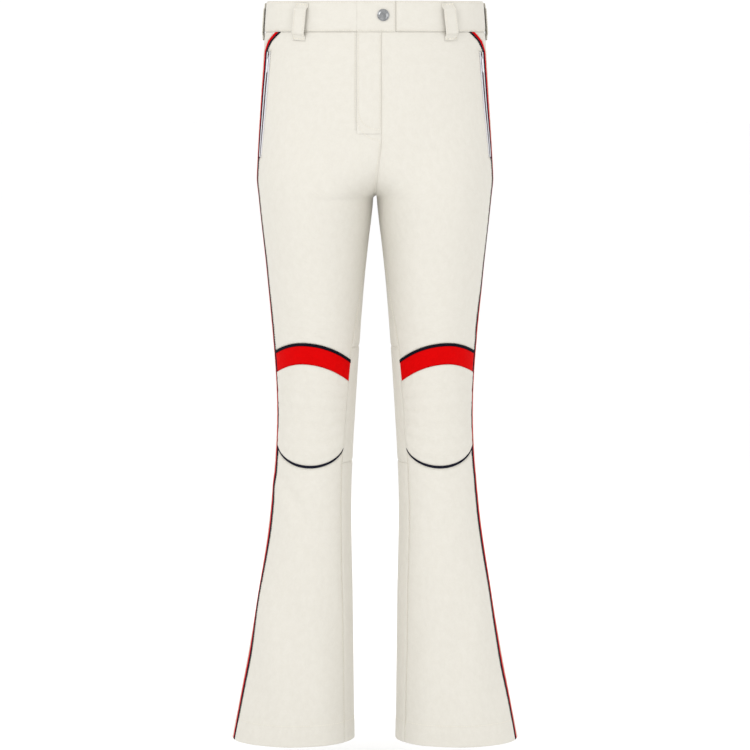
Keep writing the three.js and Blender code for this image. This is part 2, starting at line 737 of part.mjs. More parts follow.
// The two halves of the snap: cap and socket on the tab, stud and post on the underlap.
function addSnap() {
  const place = snapFrame();
  const dome = [];
  const domeSteps = 6;
  const rim = snapFit + 0.9;
  for (let i = 0; i <= domeSteps; i++) {
    const a = ((i / domeSteps) * Math.PI) / 2;
    dome.push([snapRadius * Math.cos(a), rim + (snapDome - rim) * Math.sin(a)]);
  }
  dome[domeSteps][0] = 0;
  const socketTop = -tabThick - snapFit;
  const socketEnd = socketTop - socketDepth;
  const stemEnd = socketTop - snapPlate;
  const cap = [[0, stemEnd], [snapStem, stemEnd], [snapStem, snapFit], [snapRadius, snapFit], ...dome];
  add("snap_cap", turned(cap), silver, place);
  const hole = snapStem + snapFit;
  const cup = studRadius + studFit;
  const socket = [
    [hole, socketTop],
    [hole, socketTop - snapPlate],
    [cup, socketTop - snapPlate],
    [cup, socketEnd],
    [socketRadius, socketEnd],
    [socketRadius, socketTop],
    [hole, socketTop],
  ];
  add("snap_socket", turned(socket), silver, place);
  const flange = -underlapDrop + snapFit;
  const flangeTop = flange + 0.35;
  const head = stemEnd - snapFit;
  const throughEnd = -underlapDrop - facingThick;
  const stud = [
    [0, throughEnd],
    [snapStem, throughEnd],
    [snapStem, flange],
    [socketRadius, flange],
    [socketRadius, flangeTop],
    [studRadius - 0.5, flangeTop],
    [studRadius, head - 0.6],
    [studRadius - 0.4, head],
    [0, head],
  ];
  add("snap_stud", turned(stud), silver, place);
  const postTop = throughEnd - snapFit;
  const post = [[0, postTop - snapPlate], [socketRadius, postTop - snapPlate], [socketRadius, postTop], [0, postTop]];
  add("snap_post", turned(post), silver, place);
}

function addFly() {
  const top = bandBottom - flyZipTop;
  const flapRows = [bandBottom, ...levels(bandBottom, flapBottom), flapBottom];
  const hinge = (z) => frontGirth(z) - tabHinge;
  const edge = (z) => frontGirth(z) + flyEdge;
  add("fly_flap", sheet({ side: -1, from: hinge, to: edge, rows: flapRows }), cream);
  const facing = sheet({
    side: -1,
    from: (z) => frontGirth(z) - flyFacing[1],
    to: (z) => frontGirth(z) - flyFacing[0],
    rows: flapRows,
    drop: clothThick + seamGap,
    thick: flyFacingThick,
  });
  add("fly_facing", facing, lining);
  const onSkin = (z) => skinPoint(1, frontGirth(z) - 1e-3, z);
  const normal = new THREE.Vector3(0, -1, 0);
  const frame = frameBetween(onSkin(top), onSkin(flyZipBottom), normal, flyZipDrop);
  addZip("fly", frame, flyZipLength, flyTapeHalf, flyTapeRise);
  const seated = clothThick + seamGap;
  const shield = sheet({
    side: 1,
    from: (z) => frontGirth(z) - flyShield[1],
    to: (z) => frontGirth(z) + flyShield[0],
    rows: flapRows,
    drop: (z, p) => mix(seated, flyShieldDrop, ease(p / 0.3)),
    thick: shieldThick,
    pitch: 7,
  });
  add("fly_shield", shield, lining);
}

function beltLoop() {
  const outer = beltRoom + loopThick + seamGap;
  const inner = beltRoom + seamGap;
  const half = loopHeight / 2;
  const chamfer = 4;
  const outline = [
    [seamGap, -half],
    [seamGap + loopThick, -half],
    [outer, chamfer + loopThick - half],
    [outer, half - chamfer - loopThick],
    [seamGap + loopThick, half],
    [seamGap, half],
    [seamGap, half - loopFoot],
    [seamGap + loopThick, half - loopFoot],
    [inner, half - loopFoot - chamfer],
    [inner, loopFoot + chamfer - half],
    [seamGap + loopThick, loopFoot - half],
    [seamGap, loopFoot - half],
  ];
  const shape = new THREE.Shape(outline.map(([y, z]) => new THREE.Vector2(y, z)));
  const strap = new THREE.ExtrudeGeometry(shape, { depth: loopWidth, bevelEnabled: false });
  const stand = new THREE.Matrix4().makeBasis(
    new THREE.Vector3(0, 1, 0),
    new THREE.Vector3(0, 0, 1),
    new THREE.Vector3(1, 0, 0),
  );
  return strap.applyMatrix4(stand.setPosition(-loopWidth / 2, 0, 0));
}

function addLoops() {
  const middle = -loopTop - loopHeight / 2;
  const place = (name, side, girth, lean) => {
    const frame = frameOnSkin(side, girth, middle, loopHeight / 2 - 1);
    const tilt = new THREE.Matrix4().makeRotationY(THREE.MathUtils.degToRad(lean));
    add(name, beltLoop(), cream, frame.multiply(tilt));
  };
  for (const [side, name] of [[-1, "right"], [1, "left"]]) {
    place("belt_loop_front_" + name, side, (z) => frontGirth(z) - frontLoopAt, side * frontLoopLean);
    place("belt_loop_side_" + name, side, () => -sideLoopBack, 0);
  }
  place("belt_loop_back", 1, (z) => 1e-3 - backGirth(z), 0);
}

addWaist();
addSnap();
addFly();
addLoops();
for (const [side, name] of [[-1, "right"], [1, "left"]]) {
  addUpperLeg(side, name);
  addStripe(side, name);
  addPocket(side, name);
  addKnee(side, name);
  addShin(side, name);
  addCuff(side, name);
}

export default pants;
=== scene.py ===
# Women's flared ski pants: cloth panels, quilted knees, trims, zips, snap and stitching round the frame.
# Sizes are in millimetres unless a name says otherwise; finished meshes are in metres.
import math
import bpy
import numpy as np
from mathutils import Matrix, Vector


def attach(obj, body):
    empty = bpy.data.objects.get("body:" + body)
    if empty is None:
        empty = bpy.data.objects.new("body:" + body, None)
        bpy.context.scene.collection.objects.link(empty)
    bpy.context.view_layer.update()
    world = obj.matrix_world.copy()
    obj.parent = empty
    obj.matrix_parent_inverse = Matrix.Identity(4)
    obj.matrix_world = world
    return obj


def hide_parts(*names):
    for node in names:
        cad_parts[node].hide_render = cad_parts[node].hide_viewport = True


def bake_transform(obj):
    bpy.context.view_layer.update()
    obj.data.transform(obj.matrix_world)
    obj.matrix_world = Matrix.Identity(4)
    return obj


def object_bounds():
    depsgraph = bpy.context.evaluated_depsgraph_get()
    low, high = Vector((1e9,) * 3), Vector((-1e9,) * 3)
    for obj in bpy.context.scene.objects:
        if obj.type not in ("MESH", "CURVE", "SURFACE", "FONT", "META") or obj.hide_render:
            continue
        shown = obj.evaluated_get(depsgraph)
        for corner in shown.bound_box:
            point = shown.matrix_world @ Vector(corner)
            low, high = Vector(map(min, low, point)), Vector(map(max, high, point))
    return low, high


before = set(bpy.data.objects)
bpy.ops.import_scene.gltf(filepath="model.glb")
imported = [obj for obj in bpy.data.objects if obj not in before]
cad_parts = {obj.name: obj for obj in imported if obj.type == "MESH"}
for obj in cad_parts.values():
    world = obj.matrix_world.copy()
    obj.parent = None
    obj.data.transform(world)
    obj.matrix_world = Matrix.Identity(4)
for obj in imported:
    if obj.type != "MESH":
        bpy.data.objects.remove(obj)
cadBox = [list(corner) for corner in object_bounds()]
print("frame loaded")

# Camera: straight ahead of the fly, nearly as high as the waist
camera = {"distance": 4.7, "height": -0.06, "aim": -0.5470, "span": 1.0780}

# Soft light from all round, a large key from the upper left
studio = {"sky": 1.06, "key": 23.0, "fill": 11.0, "back": 12.0, "floor": 0.95, "below": 0.05}


def makeCamera():
    data = bpy.data.cameras.new("camera")
    data.sensor_width = 36.0
    data.lens = 36.0 * camera["distance"] / camera["span"]
    eye = bpy.data.objects.new("camera", data)
    bpy.context.scene.collection.objects.link(eye)
    eye.location = (0.0, -camera["distance"] - 0.09, camera["height"])
    aim = Vector((0.0, 0.0, camera["aim"])) - eye.location
    eye.rotation_euler = aim.to_track_quat("-Z", "Y").to_euler()
    bpy.context.scene.camera = eye


def areaLight(name, place, size, watts):
    data = bpy.data.lights.new(name, "AREA")
    data.shape = "RECTANGLE"
    data.size, data.size_y = size
    data.energy = watts
    lamp = bpy.data.objects.new(name, data)
    bpy.context.scene.collection.objects.link(lamp)
    lamp.location = place
    lamp.rotation_euler = (Vector((0.0, 0.0, -0.5)) - Vector(place)).to_track_quat("-Z", "Y").to_euler()


def makeStudio():
    world = bpy.data.worlds.new("studio")
    world.use_nodes = True
    sky = world.node_tree.nodes["Background"]
    sky.inputs["Color"].default_value = (1.0, 1.0, 1.0, 1.0)
    sky.inputs["Strength"].default_value = studio["sky"]
    bpy.context.scene.world = world
    bpy.context.scene.view_settings.view_transform = "Standard"
    areaLight("key", (-1.6, -2.2, 1.2), (1.4, 1.4), studio["key"])
    areaLight("fill", (2.0, -2.2, 0.0), (1.8, 1.8), studio["fill"])
    areaLight("back", (0.8, 2.4, 0.8), (2.0, 1.4), studio["back"])
    half, z = 40.0, cadBox[0][2] - studio["below"]
    mesh = bpy.data.meshes.new("floor")
    corners = [(-half, -half, z), (half, -half, z), (half, half, z), (-half, half, z)]
    mesh.from_pydata(corners, [], [(0, 1, 2, 3)])
    floor = bpy.data.objects.new("floor", mesh)
    bpy.context.scene.collection.objects.link(floor)
    paint = bpy.data.materials.new("floorPaint")
    paint.use_nodes = True
    shader = paint.node_tree.nodes["Principled BSDF"]
    shader.inputs["Base Color"].default_value = (studio["floor"],) * 3 + (1.0,)
    shader.inputs["Roughness"].default_value = 0.9
    mesh.materials.append(paint)


makeCamera()
makeStudio()

# The outline that all the cloth follows: heights, reach from the centre plane, depth front and back
cut = {
    "length": 1088.0,
    "inseam": 805.0,
    "rise": 95.0,
    "blendAbove": 50.0,
    "blendBelow": 100.0,
    "kneeAboveHem": 500.0,
    "fill": 0.54,
    "innerFrom": 0.35,
}
crotch = cut["inseam"] - cut["length"]
hem = -cut["length"]
riseTop = crotch + cut["rise"]
knee = hem + cut["kneeAboveHem"]
stations = [
    (0.0, 0.0, 157.75, 86.0, 88.0),
    (crotch + 30, 0.0, 173.0, 100.0, 120.0),
    (crotch, 2.0, 170.5, 98.0, 112.0),
    (crotch - 130, 16.0, 157.0, 84.0, 88.0),
    (knee, 28.5, 144.5, 63.0, 63.0),
    (knee - 139, 35.0, 152.5, 60.0, 68.0),
    (knee - 285, 33.0, 173.0, 66.0, 72.0),
    (hem, 30.7, 212.0, 77.0, 80.0),
]


def ease(t):
    t = np.clip(t, 0.0, 1.0)
    return t * t * (3.0 - 2.0 * t)


def mix(a, b, t):
    return a + (b - a) * t


def stationCurve(column, z):
    heights = np.array([s[0] for s in stations])
    values = np.array([s[column] for s in stations])
    last = len(heights) - 1
    i = np.clip(np.searchsorted(-heights, -z, side="right") - 1, 0, last - 1)
    before, after = np.maximum(i - 1, 0), np.minimum(i + 2, last)
    span = heights[i + 1] - heights[i]
    t = (z - heights[i]) / span
    m0 = (values[i + 1] - values[before]) / (heights[i + 1] - heights[before]) * span
    m1 = (values[after] - values[i]) / (heights[after] - heights[i]) * span
    low = (2 * t**3 - 3 * t**2 + 1) * values[i] + (t**3 - 2 * t**2 + t) * m0
    return low + (3 * t**2 - 2 * t**3) * values[i + 1] + (t**3 - t**2) * m1


def buildSkin(count=97):
    z = np.linspace(6.0, hem - 3.0, 733)
    turns = np.linspace(0.0, 1.0, 193)
    zc = z[:, None]
    inner, outer = stationCurve(1, zc), stationCurve(2, zc)
    s = np.clip((riseTop - zc) / cut["rise"], 0.0, 1.0)
    seamShare = 1.0 - np.sqrt(1.0 - s * s)
    start = riseTop + cut["blendAbove"]
    sideShare = ease((start - zc) / (start - crotch + cut["blendBelow"]))
    inward = ease((turns - cut["innerFrom"]) / (1.0 - cut["innerFrom"]))
    share = mix(sideShare, seamShare, inward[None, :])
    fill = 1.0 + cut["fill"] * share * (1.0 - share)
    quarter = turns[None, :] * math.pi / 2
    half = (outer - inner) / 2
    x = mix(outer * np.cos(quarter), inner + half + half * np.cos(2 * quarter), share)
    y = fill * mix(np.sin(quarter), np.sin(2 * quarter), share)
    out = {"z": z, "points": [], "normals": [], "length": []}
    even = np.linspace(0.0, 1.0, count)
    for sign, column in ((-1.0, 3), (1.0, 4)):
        py = sign * y * stationCurve(column, zc)
        steps = np.hypot(np.diff(x), np.diff(py))
        walk = np.concatenate([np.zeros_like(zc), np.cumsum(steps, axis=1)], axis=1)
        points = np.empty((len(z), count, 2))
        for row in range(len(z)):
            points[row, :, 0] = np.interp(even, walk[row] / walk[row, -1], x[row])
            points[row, :, 1] = np.interp(even, walk[row] / walk[row, -1], py[row])
        dx, dy = np.gradient(points[:, :, 0], axis=1), np.gradient(points[:, :, 1], axis=1)
        size = np.hypot(dx, dy)
        out["points"].append(points)
        out["normals"].append(np.stack([sign * dy / size, -sign * dx / size], axis=2))
        out["length"].append(walk[:, -1])
    return out


skin = buildSkin()


def frontGirth(z):
    return np.interp(-np.asarray(z, float), -skin["z"], skin["length"][0])


def backGirth(z):
    return np.interp(-np.asarray(z, float), -skin["z"], skin["length"][1])


def sample(field, share, z):
    rows = np.interp(-z, -skin["z"], np.arange(len(skin["z"])))
    columns = np.clip(share, 0.0, 1.0) * (field.shape[1] - 1)
    r = np.clip(rows.astype(int), 0, field.shape[0] - 2)
    c = np.clip(columns.astype(int), 0, field.shape[1] - 2)
    fr, fc = (rows - r)[..., None], (columns - c)[..., None]
    low = field[r, c] * (1 - fc) + field[r, c + 1] * fc
    return low * (1 - fr) + (field[r + 1, c] * (1 - fc) + field[r + 1, c + 1] * fc) * fr


# Folds of the hanging cloth on one leg: where, which way they run, how long, how wide and how deep.
# They fade out above a height, over the knee panels and beside the side line
folds = {
    "front": [
        (128, -722, 58, 66, 11, 2.8),
        (116, -748, 60, 74, 11, -2.6),
        (112, -790, 62, 80, 14, 2.2),
        (96, -850, 66, 105, 16, -2.2),
        (150, -925, 78, 130, 18, 2.4),
        (118, -960, 82, 120, 16, -2.2),
        (75, -985, 86, 120, 17, 2.0),
        (180, -1010, 80, 90, 14, -1.8),
        (46, -302, 30, 36, 7, 1.6),
        (62, -326, 24, 42, 8, -1.5),
        (30, -262, 40, 30, 7, -1.2),
        (112, -450, 44, 60, 14, 1.3),
        (58, -486, -30, 40, 10, -1.2),
    ],
    "back": [
        (78, -318, 14, 60, 9, 2.0),
        (88, -345, 10, 66, 10, -2.0),
        (82, -374, 6, 60, 10, 1.6),
        (85, -556, 8, 58, 8, 2.0),
        (90, -582, -6, 62, 8, -2.2),
        (84, -608, 5, 58, 8, 2.0),
        (88, -634, -4, 56, 9, -1.6),
        (110, -800, 70, 100, 18, 2.2),
        (70, -920, 82, 130, 20, -2.2),
        (140, -980, 84, 110, 18, 2.0),
    ],
    "ripple": 0.5,
    "flatAbove": -60.0,
    "flatOver": 90.0,
    "kneePanel": (-690.0, -485.0),
    "kneeShare": 0.25,
    "sideReach": 32.0,
}


def foldLift(x, y, z):
    reach = np.abs(x)
    lift = np.zeros_like(x)
    for face, part in (("front", y < 0), ("back", y >= 0)):
        for i, (atX, atZ, turn, long, wide, deep) in enumerate(folds[face]):
            drift = np.where(x < 0, 8.0 * math.sin(3.1 * i + 1.0), 0.0)  # the legs differ a little
            turn = math.radians(turn)
            dx, dz = reach - atX - drift, z - atZ + 0.6 * drift
            along = dx * math.cos(turn) + dz * math.sin(turn)
            across = -dx * math.sin(turn) + dz * math.cos(turn)
            shape = np.exp(-((along / long) ** 2) - (across / wide) ** 2)
            lift += np.where(part, deep * shape, 0.0)
    wave = np.sin(x / 23 + z / 61 + 1.3 * np.sin(y / 31)) + np.sin(z / 37 - x / 47 + 2.0)
    wave += 0.7 * np.sin(y / 19 + z / 29 + 0.5) * np.sin(x / 33)
    quiet = ease((folds["flatAbove"] - z) / folds["flatOver"])
    foot, top = folds["kneePanel"]
    panel = np.where((y < 0) & (z < top) & (z > foot), folds["kneeShare"], 1.0)
    still = ease(np.abs(y) / folds["sideReach"])
    return (lift * mix(0.2, 1.0, still) + folds["ripple"] * wave * still) * quiet * panel


def skinPoint(side, girth, z, offset=0.0, folded=True):
    girth, z, offset = np.broadcast_arrays(*(np.asarray(v, float) for v in (girth, z, offset)))
    front, back = frontGirth(z), backGirth(z)
    onLeg = z <= crotch
    past, under = girth > front, girth < -back
    walk = np.where(past & onLeg, girth - front - back, np.where(past, 2 * front - girth, girth))
    walk = np.where(under & onLeg, girth + front + back, np.where(under, -2 * back - girth, walk))
    hand = np.where((past | under) & ~onLeg, -float(side), float(side))
    ahead = (walk >= 0)[..., None]
    fields = [[skin[key][part] for part in (0, 1)] for key in ("points", "normals")]
    xy, normal = (
        np.where(ahead, sample(f[0], walk / front, z), sample(f[1], -walk / back, z)) for f in fields
    )
    x, y = xy[..., 0] * hand, xy[..., 1]
    nx, ny = normal[..., 0] * hand, normal[..., 1]
    push = offset + (foldLift(x, y, z) if folded else 0.0)
    size = np.hypot(nx, ny)
    return np.stack([x + push * nx / size, y + push * ny / size, z], axis=-1)


print("skin ready")


# Shader groups that several finishes share
def newGroup(name, inputs, outputs):
    group = bpy.data.node_groups.new(name, "ShaderNodeTree")
    kinds = {"vector": "NodeSocketVector", "value": "NodeSocketFloat", "colour": "NodeSocketColor"}
    for label, kind, default in inputs:
        socket = group.interface.new_socket(label, in_out="INPUT", socket_type=kinds[kind])
        if default is not None:
            socket.default_value = default
    for label, kind in outputs:
        group.interface.new_socket(label, in_out="OUTPUT", socket_type=kinds[kind])
    return group, group.nodes.new("NodeGroupInput"), group.nodes.new("NodeGroupOutput")


def maths(tree, operation, a, b=None, c=None):
    node = tree.nodes.new("ShaderNodeMath")
    node.operation = operation
    for socket, value in zip(node.inputs, (a, b, c)):
        if value is None:
            continue
        if isinstance(value, (int, float)):
            socket.default_value = value
        else:
            tree.links.new(value, socket)
    return node.outputs[0]


def noise(tree, vector, scale, detail=2.0, rough=0.5):
    node = tree.nodes.new("ShaderNodeTexNoise")
    node.inputs["Detail"].default_value = detail
    node.inputs["Roughness"].default_value = rough
    if isinstance(scale, (int, float)):
        node.inputs["Scale"].default_value = scale
    else:
        tree.links.new(scale, node.inputs["Scale"])
    tree.links.new(vector, node.inputs["Vector"])
    return node.outputs["Fac"]


# Plain weave or twill in the cloth's own directions: thread height, and a mask of single threads
def makeWeave():
    group, given, out = newGroup(
        "weave",
        [("Cloth", "vector", None), ("Threads", "value", 1600.0), ("Lean", "value", 1.0)],
        [("Height", "value"), ("Thread", "value")],
    )
    split = group.nodes.new("ShaderNodeSeparateXYZ")
    group.links.new(given.outputs["Cloth"], split.inputs[0])
    turn = maths(group, "MULTIPLY", given.outputs["Threads"], math.pi)
    u = maths(group, "MULTIPLY", split.outputs[0], turn)
    v = maths(group, "MULTIPLY", split.outputs[1], turn)
    leaning = maths(group, "ADD", u, maths(group, "MULTIPLY", v, given.outputs["Lean"]))
    ribs = maths(group, "SINE", leaning)
    cross = maths(group, "MULTIPLY", maths(group, "SINE", u), maths(group, "SINE", v))
    height = maths(group, "MULTIPLY_ADD", maths(group, "ADD", ribs, cross), 0.25, 0.5)
    slub = noise(group, given.outputs["Cloth"], maths(group, "MULTIPLY", given.outputs["Threads"], 0.22), 1.0)
    group.links.new(height, out.inputs["Height"])
    group.links.new(slub, out.inputs["Thread"])
    return group


# Soft creases of worn cloth, at two sizes, and puckers beside the seams
def makeCreases():
    group, given, out = newGroup(
        "creases",
        [("Cloth", "vector", None), ("Size", "value", 16.0), ("Seam", "value", 0.5)],
        [("Height", "value"), ("Edge", "value"), ("Shade", "value")],
    )
    split = group.nodes.new("ShaderNodeSeparateXYZ")
    group.links.new(given.outputs["Cloth"], split.inputs[0])
    broad = noise(group, given.outputs["Cloth"], given.outputs["Size"], 3.0, 0.45)
    fine = noise(group, given.outputs["Cloth"], maths(group, "MULTIPLY", given.outputs["Size"], 5.5), 2.0, 0.55)
    pucker = noise(group, given.outputs["Cloth"], 190.0, 1.0)
    # The third cloth coordinate is the distance to the nearest seam, in metres
    # Edge grows towards the nearest seam; the cloth colour uses it for painted shade in the seam grooves, mixed with
    # soil
    edge = maths(group, "EXPONENT", maths(group, "MULTIPLY", split.outputs[2], -230.0))
    seam = maths(group, "MULTIPLY", maths(group, "MULTIPLY", pucker, edge), given.outputs["Seam"])
    height = maths(group, "MULTIPLY_ADD", broad, 0.7, maths(group, "MULTIPLY_ADD", fine, 0.16, seam))
    group.links.new(height, out.inputs["Height"])
    group.links.new(edge, out.inputs["Edge"])
    group.links.new(fine, out.inputs["Shade"])
    return group


weave = makeWeave()
creases = makeCreases()

# Colours are linear. Weave depth and crease depth are in millimetres
finishes = {
    "shell_cloth": {
        "colour": (0.655, 0.632, 0.572), "shade": (0.56, 0.53, 0.465), "rough": 0.74,
        "sheen": 0.10, "threads": 1500.0, "lean": 1.0, "weaveDepth": 0.05, "creaseDepth": 0.9,
    },
    "lining_cloth": {
        "colour": (0.62, 0.60, 0.54), "shade": (0.52, 0.50, 0.44), "rough": 0.55,
        "sheen": 0.15, "threads": 2200.0, "lean": 0.0, "weaveDepth": 0.03, "creaseDepth": 1.2,
    },
    "stripe_red": {
        "colour": (0.61, 0.0, 0.0005), "shade": (0.42, 0.0, 0.0003), "rough": 0.72,
        "sheen": 0.0, "gloss": 0.04, "threads": 1300.0, "lean": 1.0, "weaveDepth": 0.06, "creaseDepth": 0.4,
    },
    "piping_navy": {
        "colour": (0.010, 0.010, 0.020), "shade": (0.005, 0.005, 0.010), "rough": 0.72,
        "sheen": 0.0, "gloss": 0.04, "threads": 1300.0, "lean": 1.0, "weaveDepth": 0.06, "creaseDepth": 0.3,
    },
    "zip_tape": {
        "colour": (0.78, 0.78, 0.82), "shade": (0.66, 0.66, 0.72), "rough": 0.7,
        "sheen": 0.15, "threads": 1100.0, "lean": 0.6, "weaveDepth": 0.07, "creaseDepth": 0.1,
    },
    "grip_elastic": {
        "colour": (0.60, 0.60, 0.58), "shade": (0.44, 0.44, 0.43), "rough": 0.6,
        "sheen": 0.0, "threads": 520.0, "lean": 0.0, "weaveDepth": 0.22, "creaseDepth": 0.2,
    },
    "wadding": {
        "colour": (0.80, 0.79, 0.76), "shade": (0.66, 0.65, 0.62), "rough": 0.95,
        "sheen": 0.30, "threads": 300.0, "lean": 0.3, "weaveDepth": 0.3, "creaseDepth": 2.0,
    },
}
materials = {}


def blendColours(tree, factor, first, second):
    node = tree.nodes.new("ShaderNodeMix")
    node.data_type = "RGBA"
    tree.links.new(factor, node.inputs["Factor"])
    for label, value in ((6, first), (7, second)):
        node.inputs[label].default_value = value + (1.0,)
    return node.outputs[2]


def ramped(tree, value, low, high, toLow, toHigh):
    node = tree.nodes.new("ShaderNodeMapRange")
    tree.links.new(value, node.inputs["Value"])
    for label, number in (("From Min", low), ("From Max", high), ("To Min", toLow), ("To Max", toHigh)):
        node.inputs[label].default_value = number
    return node.outputs["Result"]


def bump(tree, height, depth, under=None):
    node = tree.nodes.new("ShaderNodeBump")
    node.inputs["Distance"].default_value = depth * 0.001
    tree.links.new(height, node.inputs["Height"])
    if under is not None:
        tree.links.new(under, node.inputs["Normal"])
    return node.outputs["Normal"]


def startMaterial(name):
    material = bpy.data.materials.new(name)
    material.use_nodes = True
    materials[name] = material
    return material.node_tree, material.node_tree.nodes["Principled BSDF"]


def clothMaterial(name):
    look = finishes[name]
    tree, shader = startMaterial(name)
    place = tree.nodes.new("ShaderNodeAttribute")
    place.attribute_name = "cloth"
    woven, creased = (tree.nodes.new("ShaderNodeGroup") for _ in range(2))
    woven.node_tree, creased.node_tree = weave, creases
    woven.inputs["Threads"].default_value = look["threads"]
    woven.inputs["Lean"].default_value = look["lean"]
    for node in (woven, creased):
        tree.links.new(place.outputs["Vector"], node.inputs["Cloth"])
    mottled = ramped(tree, creased.outputs["Shade"], 0.35, 0.65, 0.0, 0.16)
    threads = ramped(tree, woven.outputs["Thread"], 0.3, 0.7, 0.0, 0.14)
    # The colour blends towards the darker shade colour for random mottle and single threads, and for painted shade
    # along seams, quilting lines and strap edges mixed with soil
    seam_shade_and_soil = maths(tree, "MULTIPLY", creased.outputs["Edge"], 0.12)
    worn = maths(tree, "ADD", maths(tree, "ADD", mottled, threads), seam_shade_and_soil)
    tree.links.new(blendColours(tree, worn, look["colour"], look["shade"]), shader.inputs["Base Color"])
    rough = ramped(tree, woven.outputs["Thread"], 0.2, 0.8, look["rough"] - 0.06, look["rough"] + 0.06)
    tree.links.new(rough, shader.inputs["Roughness"])
    shader.inputs["Sheen Weight"].default_value = look["sheen"]
    shader.inputs["Sheen Roughness"].default_value = 0.45
    shader.inputs["Specular IOR Level"].default_value = look.get("gloss", 0.25)
    folded = bump(tree, creased.outputs["Height"], look["creaseDepth"])
    tree.links.new(bump(tree, woven.outputs["Height"], look["weaveDepth"], folded), shader.inputs["Normal"])


# Metal and moulded parts take their grain from the object's own place
def hardMaterial(name, colour, worn, rough, metallic, grain, depth):
    tree, shader = startMaterial(name)
    place = tree.nodes.new("ShaderNodeTexCoord").outputs["Object"]
    coarse, fine = noise(tree, place, grain * 0.2, 3.0), noise(tree, place, grain, 2.0, 0.7)
    handled = ramped(tree, coarse, 0.42, 0.68, 0.0, 0.6)
    tree.links.new(blendColours(tree, handled, colour, worn), shader.inputs["Base Color"])
    tree.links.new(ramped(tree, fine, 0.3, 0.7, rough * 0.8, rough * 1.3), shader.inputs["Roughness"])
    shader.inputs["Metallic"].default_value = metallic
    tree.links.new(bump(tree, fine, depth), shader.inputs["Normal"])


for finish in finishes:
    clothMaterial(finish)
hardMaterial("snap_metal", (0.33, 0.335, 0.34), (0.18, 0.185, 0.19), 0.2, 1.0, 900.0, 0.02)
hardMaterial("zip_metal", (0.66, 0.67, 0.70), (0.50, 0.51, 0.54), 0.30, 1.0, 900.0, 0.02)
hardMaterial("zip_pull", (0.78, 0.78, 0.81), (0.66, 0.66, 0.69), 0.42, 0.0, 700.0, 0.02)
hardMaterial("zip_teeth", (0.80, 0.80, 0.84), (0.68, 0.68, 0.74), 0.38, 0.0, 900.0, 0.02)
hardMaterial("thread", (0.78, 0.74, 0.64), (0.66, 0.62, 0.52), 0.70, 0.0, 2200.0, 0.05)
print("finishes ready")


# A mesh object from points in millimetres. Faces are turned to look outward
def meshObject(name, points, faces, finish, cloth=None):
    points = np.asarray(points, float).reshape(-1, 3) * 0.001
    volume, flat = 0.0, []
    for block in faces:
        a = points[block[:, 0]]
        for k in range(1, block.shape[1] - 1):
            volume += float((a * np.cross(points[block[:, k]], points[block[:, k + 1]])).sum())
        flat += block.tolist()
    if volume < 0:
        flat = [f[::-1] for f in flat]
    mesh = bpy.data.meshes.new(name)
    mesh.from_pydata(points.tolist(), [], flat)
    mesh.polygons.foreach_set("use_smooth", [True] * len(mesh.polygons))
    mesh.materials.append(materials[finish])
    if cloth is not None:
        coordinates = mesh.attributes.new("cloth", "FLOAT_VECTOR", "POINT")
        coordinates.data.foreach_set("vector", (np.asarray(cloth, float).reshape(-1) * 0.001))
    thing = bpy.data.objects.new(name, mesh)
    bpy.context.scene.collection.objects.link(thing)
    return thing


# How deep a seam draws the cloth in at a distance from it
seams = {"dip": 1.0, "reach": 2.4, "pucker": 0.28, "puckerReach": 9.0, "puckerLength": 13.0}


def seamDip(distance):
    return -seams["dip"] * np.exp(-((distance / seams["reach"]) ** 2))


def gridFaces(rows, columns, first=0, flip=False):
    i, j = np.meshgrid(np.arange(rows - 1), np.arange(columns - 1), indexing="ij")
    a = first + i * columns + j
    quads = np.stack([a, a + columns, a + columns + 1, a + 1], axis=-1).reshape(-1, 4)
    return quads[:, ::-1] if flip else quads


# Two layers of one grid, closed round its edge
def closedGrid(outer, inner):
    rows, columns = outer.shape[:2]
    back = rows * columns
    faces = [gridFaces(rows, columns), gridFaces(rows, columns, back, True)]
    index = np.arange(back).reshape(rows, columns)
    border = np.concatenate([index[0, :], index[1:, -1], index[-1, -2::-1], index[-2:0:-1, 0]])
    after = np.roll(border, -1)
    faces.append(np.stack([border, after, after + back, border + back], axis=-1))
    points = np.concatenate([outer.reshape(-1, 3), inner.reshape(-1, 3)])
    return points, faces


# Two layers of the cells of a grid that are kept, closed round every open edge
def closedCells(outer, inner, kept):
    rows, columns = outer.shape[:2]
    back = rows * columns
    i, j = np.nonzero(kept)
    a = i * columns + j
    faces = [np.stack([a, a + columns, a + columns + 1, a + 1], axis=-1)]
    faces.append(faces[0][:, ::-1] + back)
    framed = np.pad(kept, 1)
    walls = [(-1, 0, 1, 0), (1, 0, columns, columns + 1), (0, -1, 0, columns), (0, 1, columns + 1, 1)]
    for di, dj, first, second in walls:
        openSide = kept & ~framed[1 + di:di + rows, 1 + dj:dj + columns]
        i, j = np.nonzero(openSide)
        a, b = i * columns + j + first, i * columns + j + second
        faces.append(np.stack([b, a, a + back, b + back], axis=-1))
    points = np.concatenate([outer.reshape(-1, 3), inner.reshape(-1, 3)])
    used = np.unique(np.concatenate([f.reshape(-1) for f in faces]))
    renumber = np.zeros(len(points), int)
    renumber[used] = np.arange(len(used))
    return points[used], [renumber[f] for f in faces], used


# Rows and columns close beside each edge of a piece, and the room that the next row keeps
rim = {"steps": (0.7, 1.8, 3.4), "clear": 4.5, "widest": 12.0, "round": 0.3, "beside": 0.7}


def fillRows(rows, share, pitch):
    lines = [np.broadcast_to(row(share) if callable(row) else float(row), share.shape) for row in rows]
    out = [lines[0]]
    for above, lower in zip(lines, lines[1:]):
        steps = max(1, math.ceil(float(np.abs(above - lower).max()) / pitch))
        out += [mix(above, lower, k / steps) for k in range(1, steps + 1)]
    top = [out[0] - d for d in rim["steps"]]
    bottom = [out[-1] + d for d in reversed(rim["steps"])]
    clear = rim["clear"]
    middle = [line for line in out[1:-1] if (out[0] - line).min() > clear and (line - out[-1]).min() > clear]
    return np.array([out[0]] + top + middle + bottom + [out[-1]])


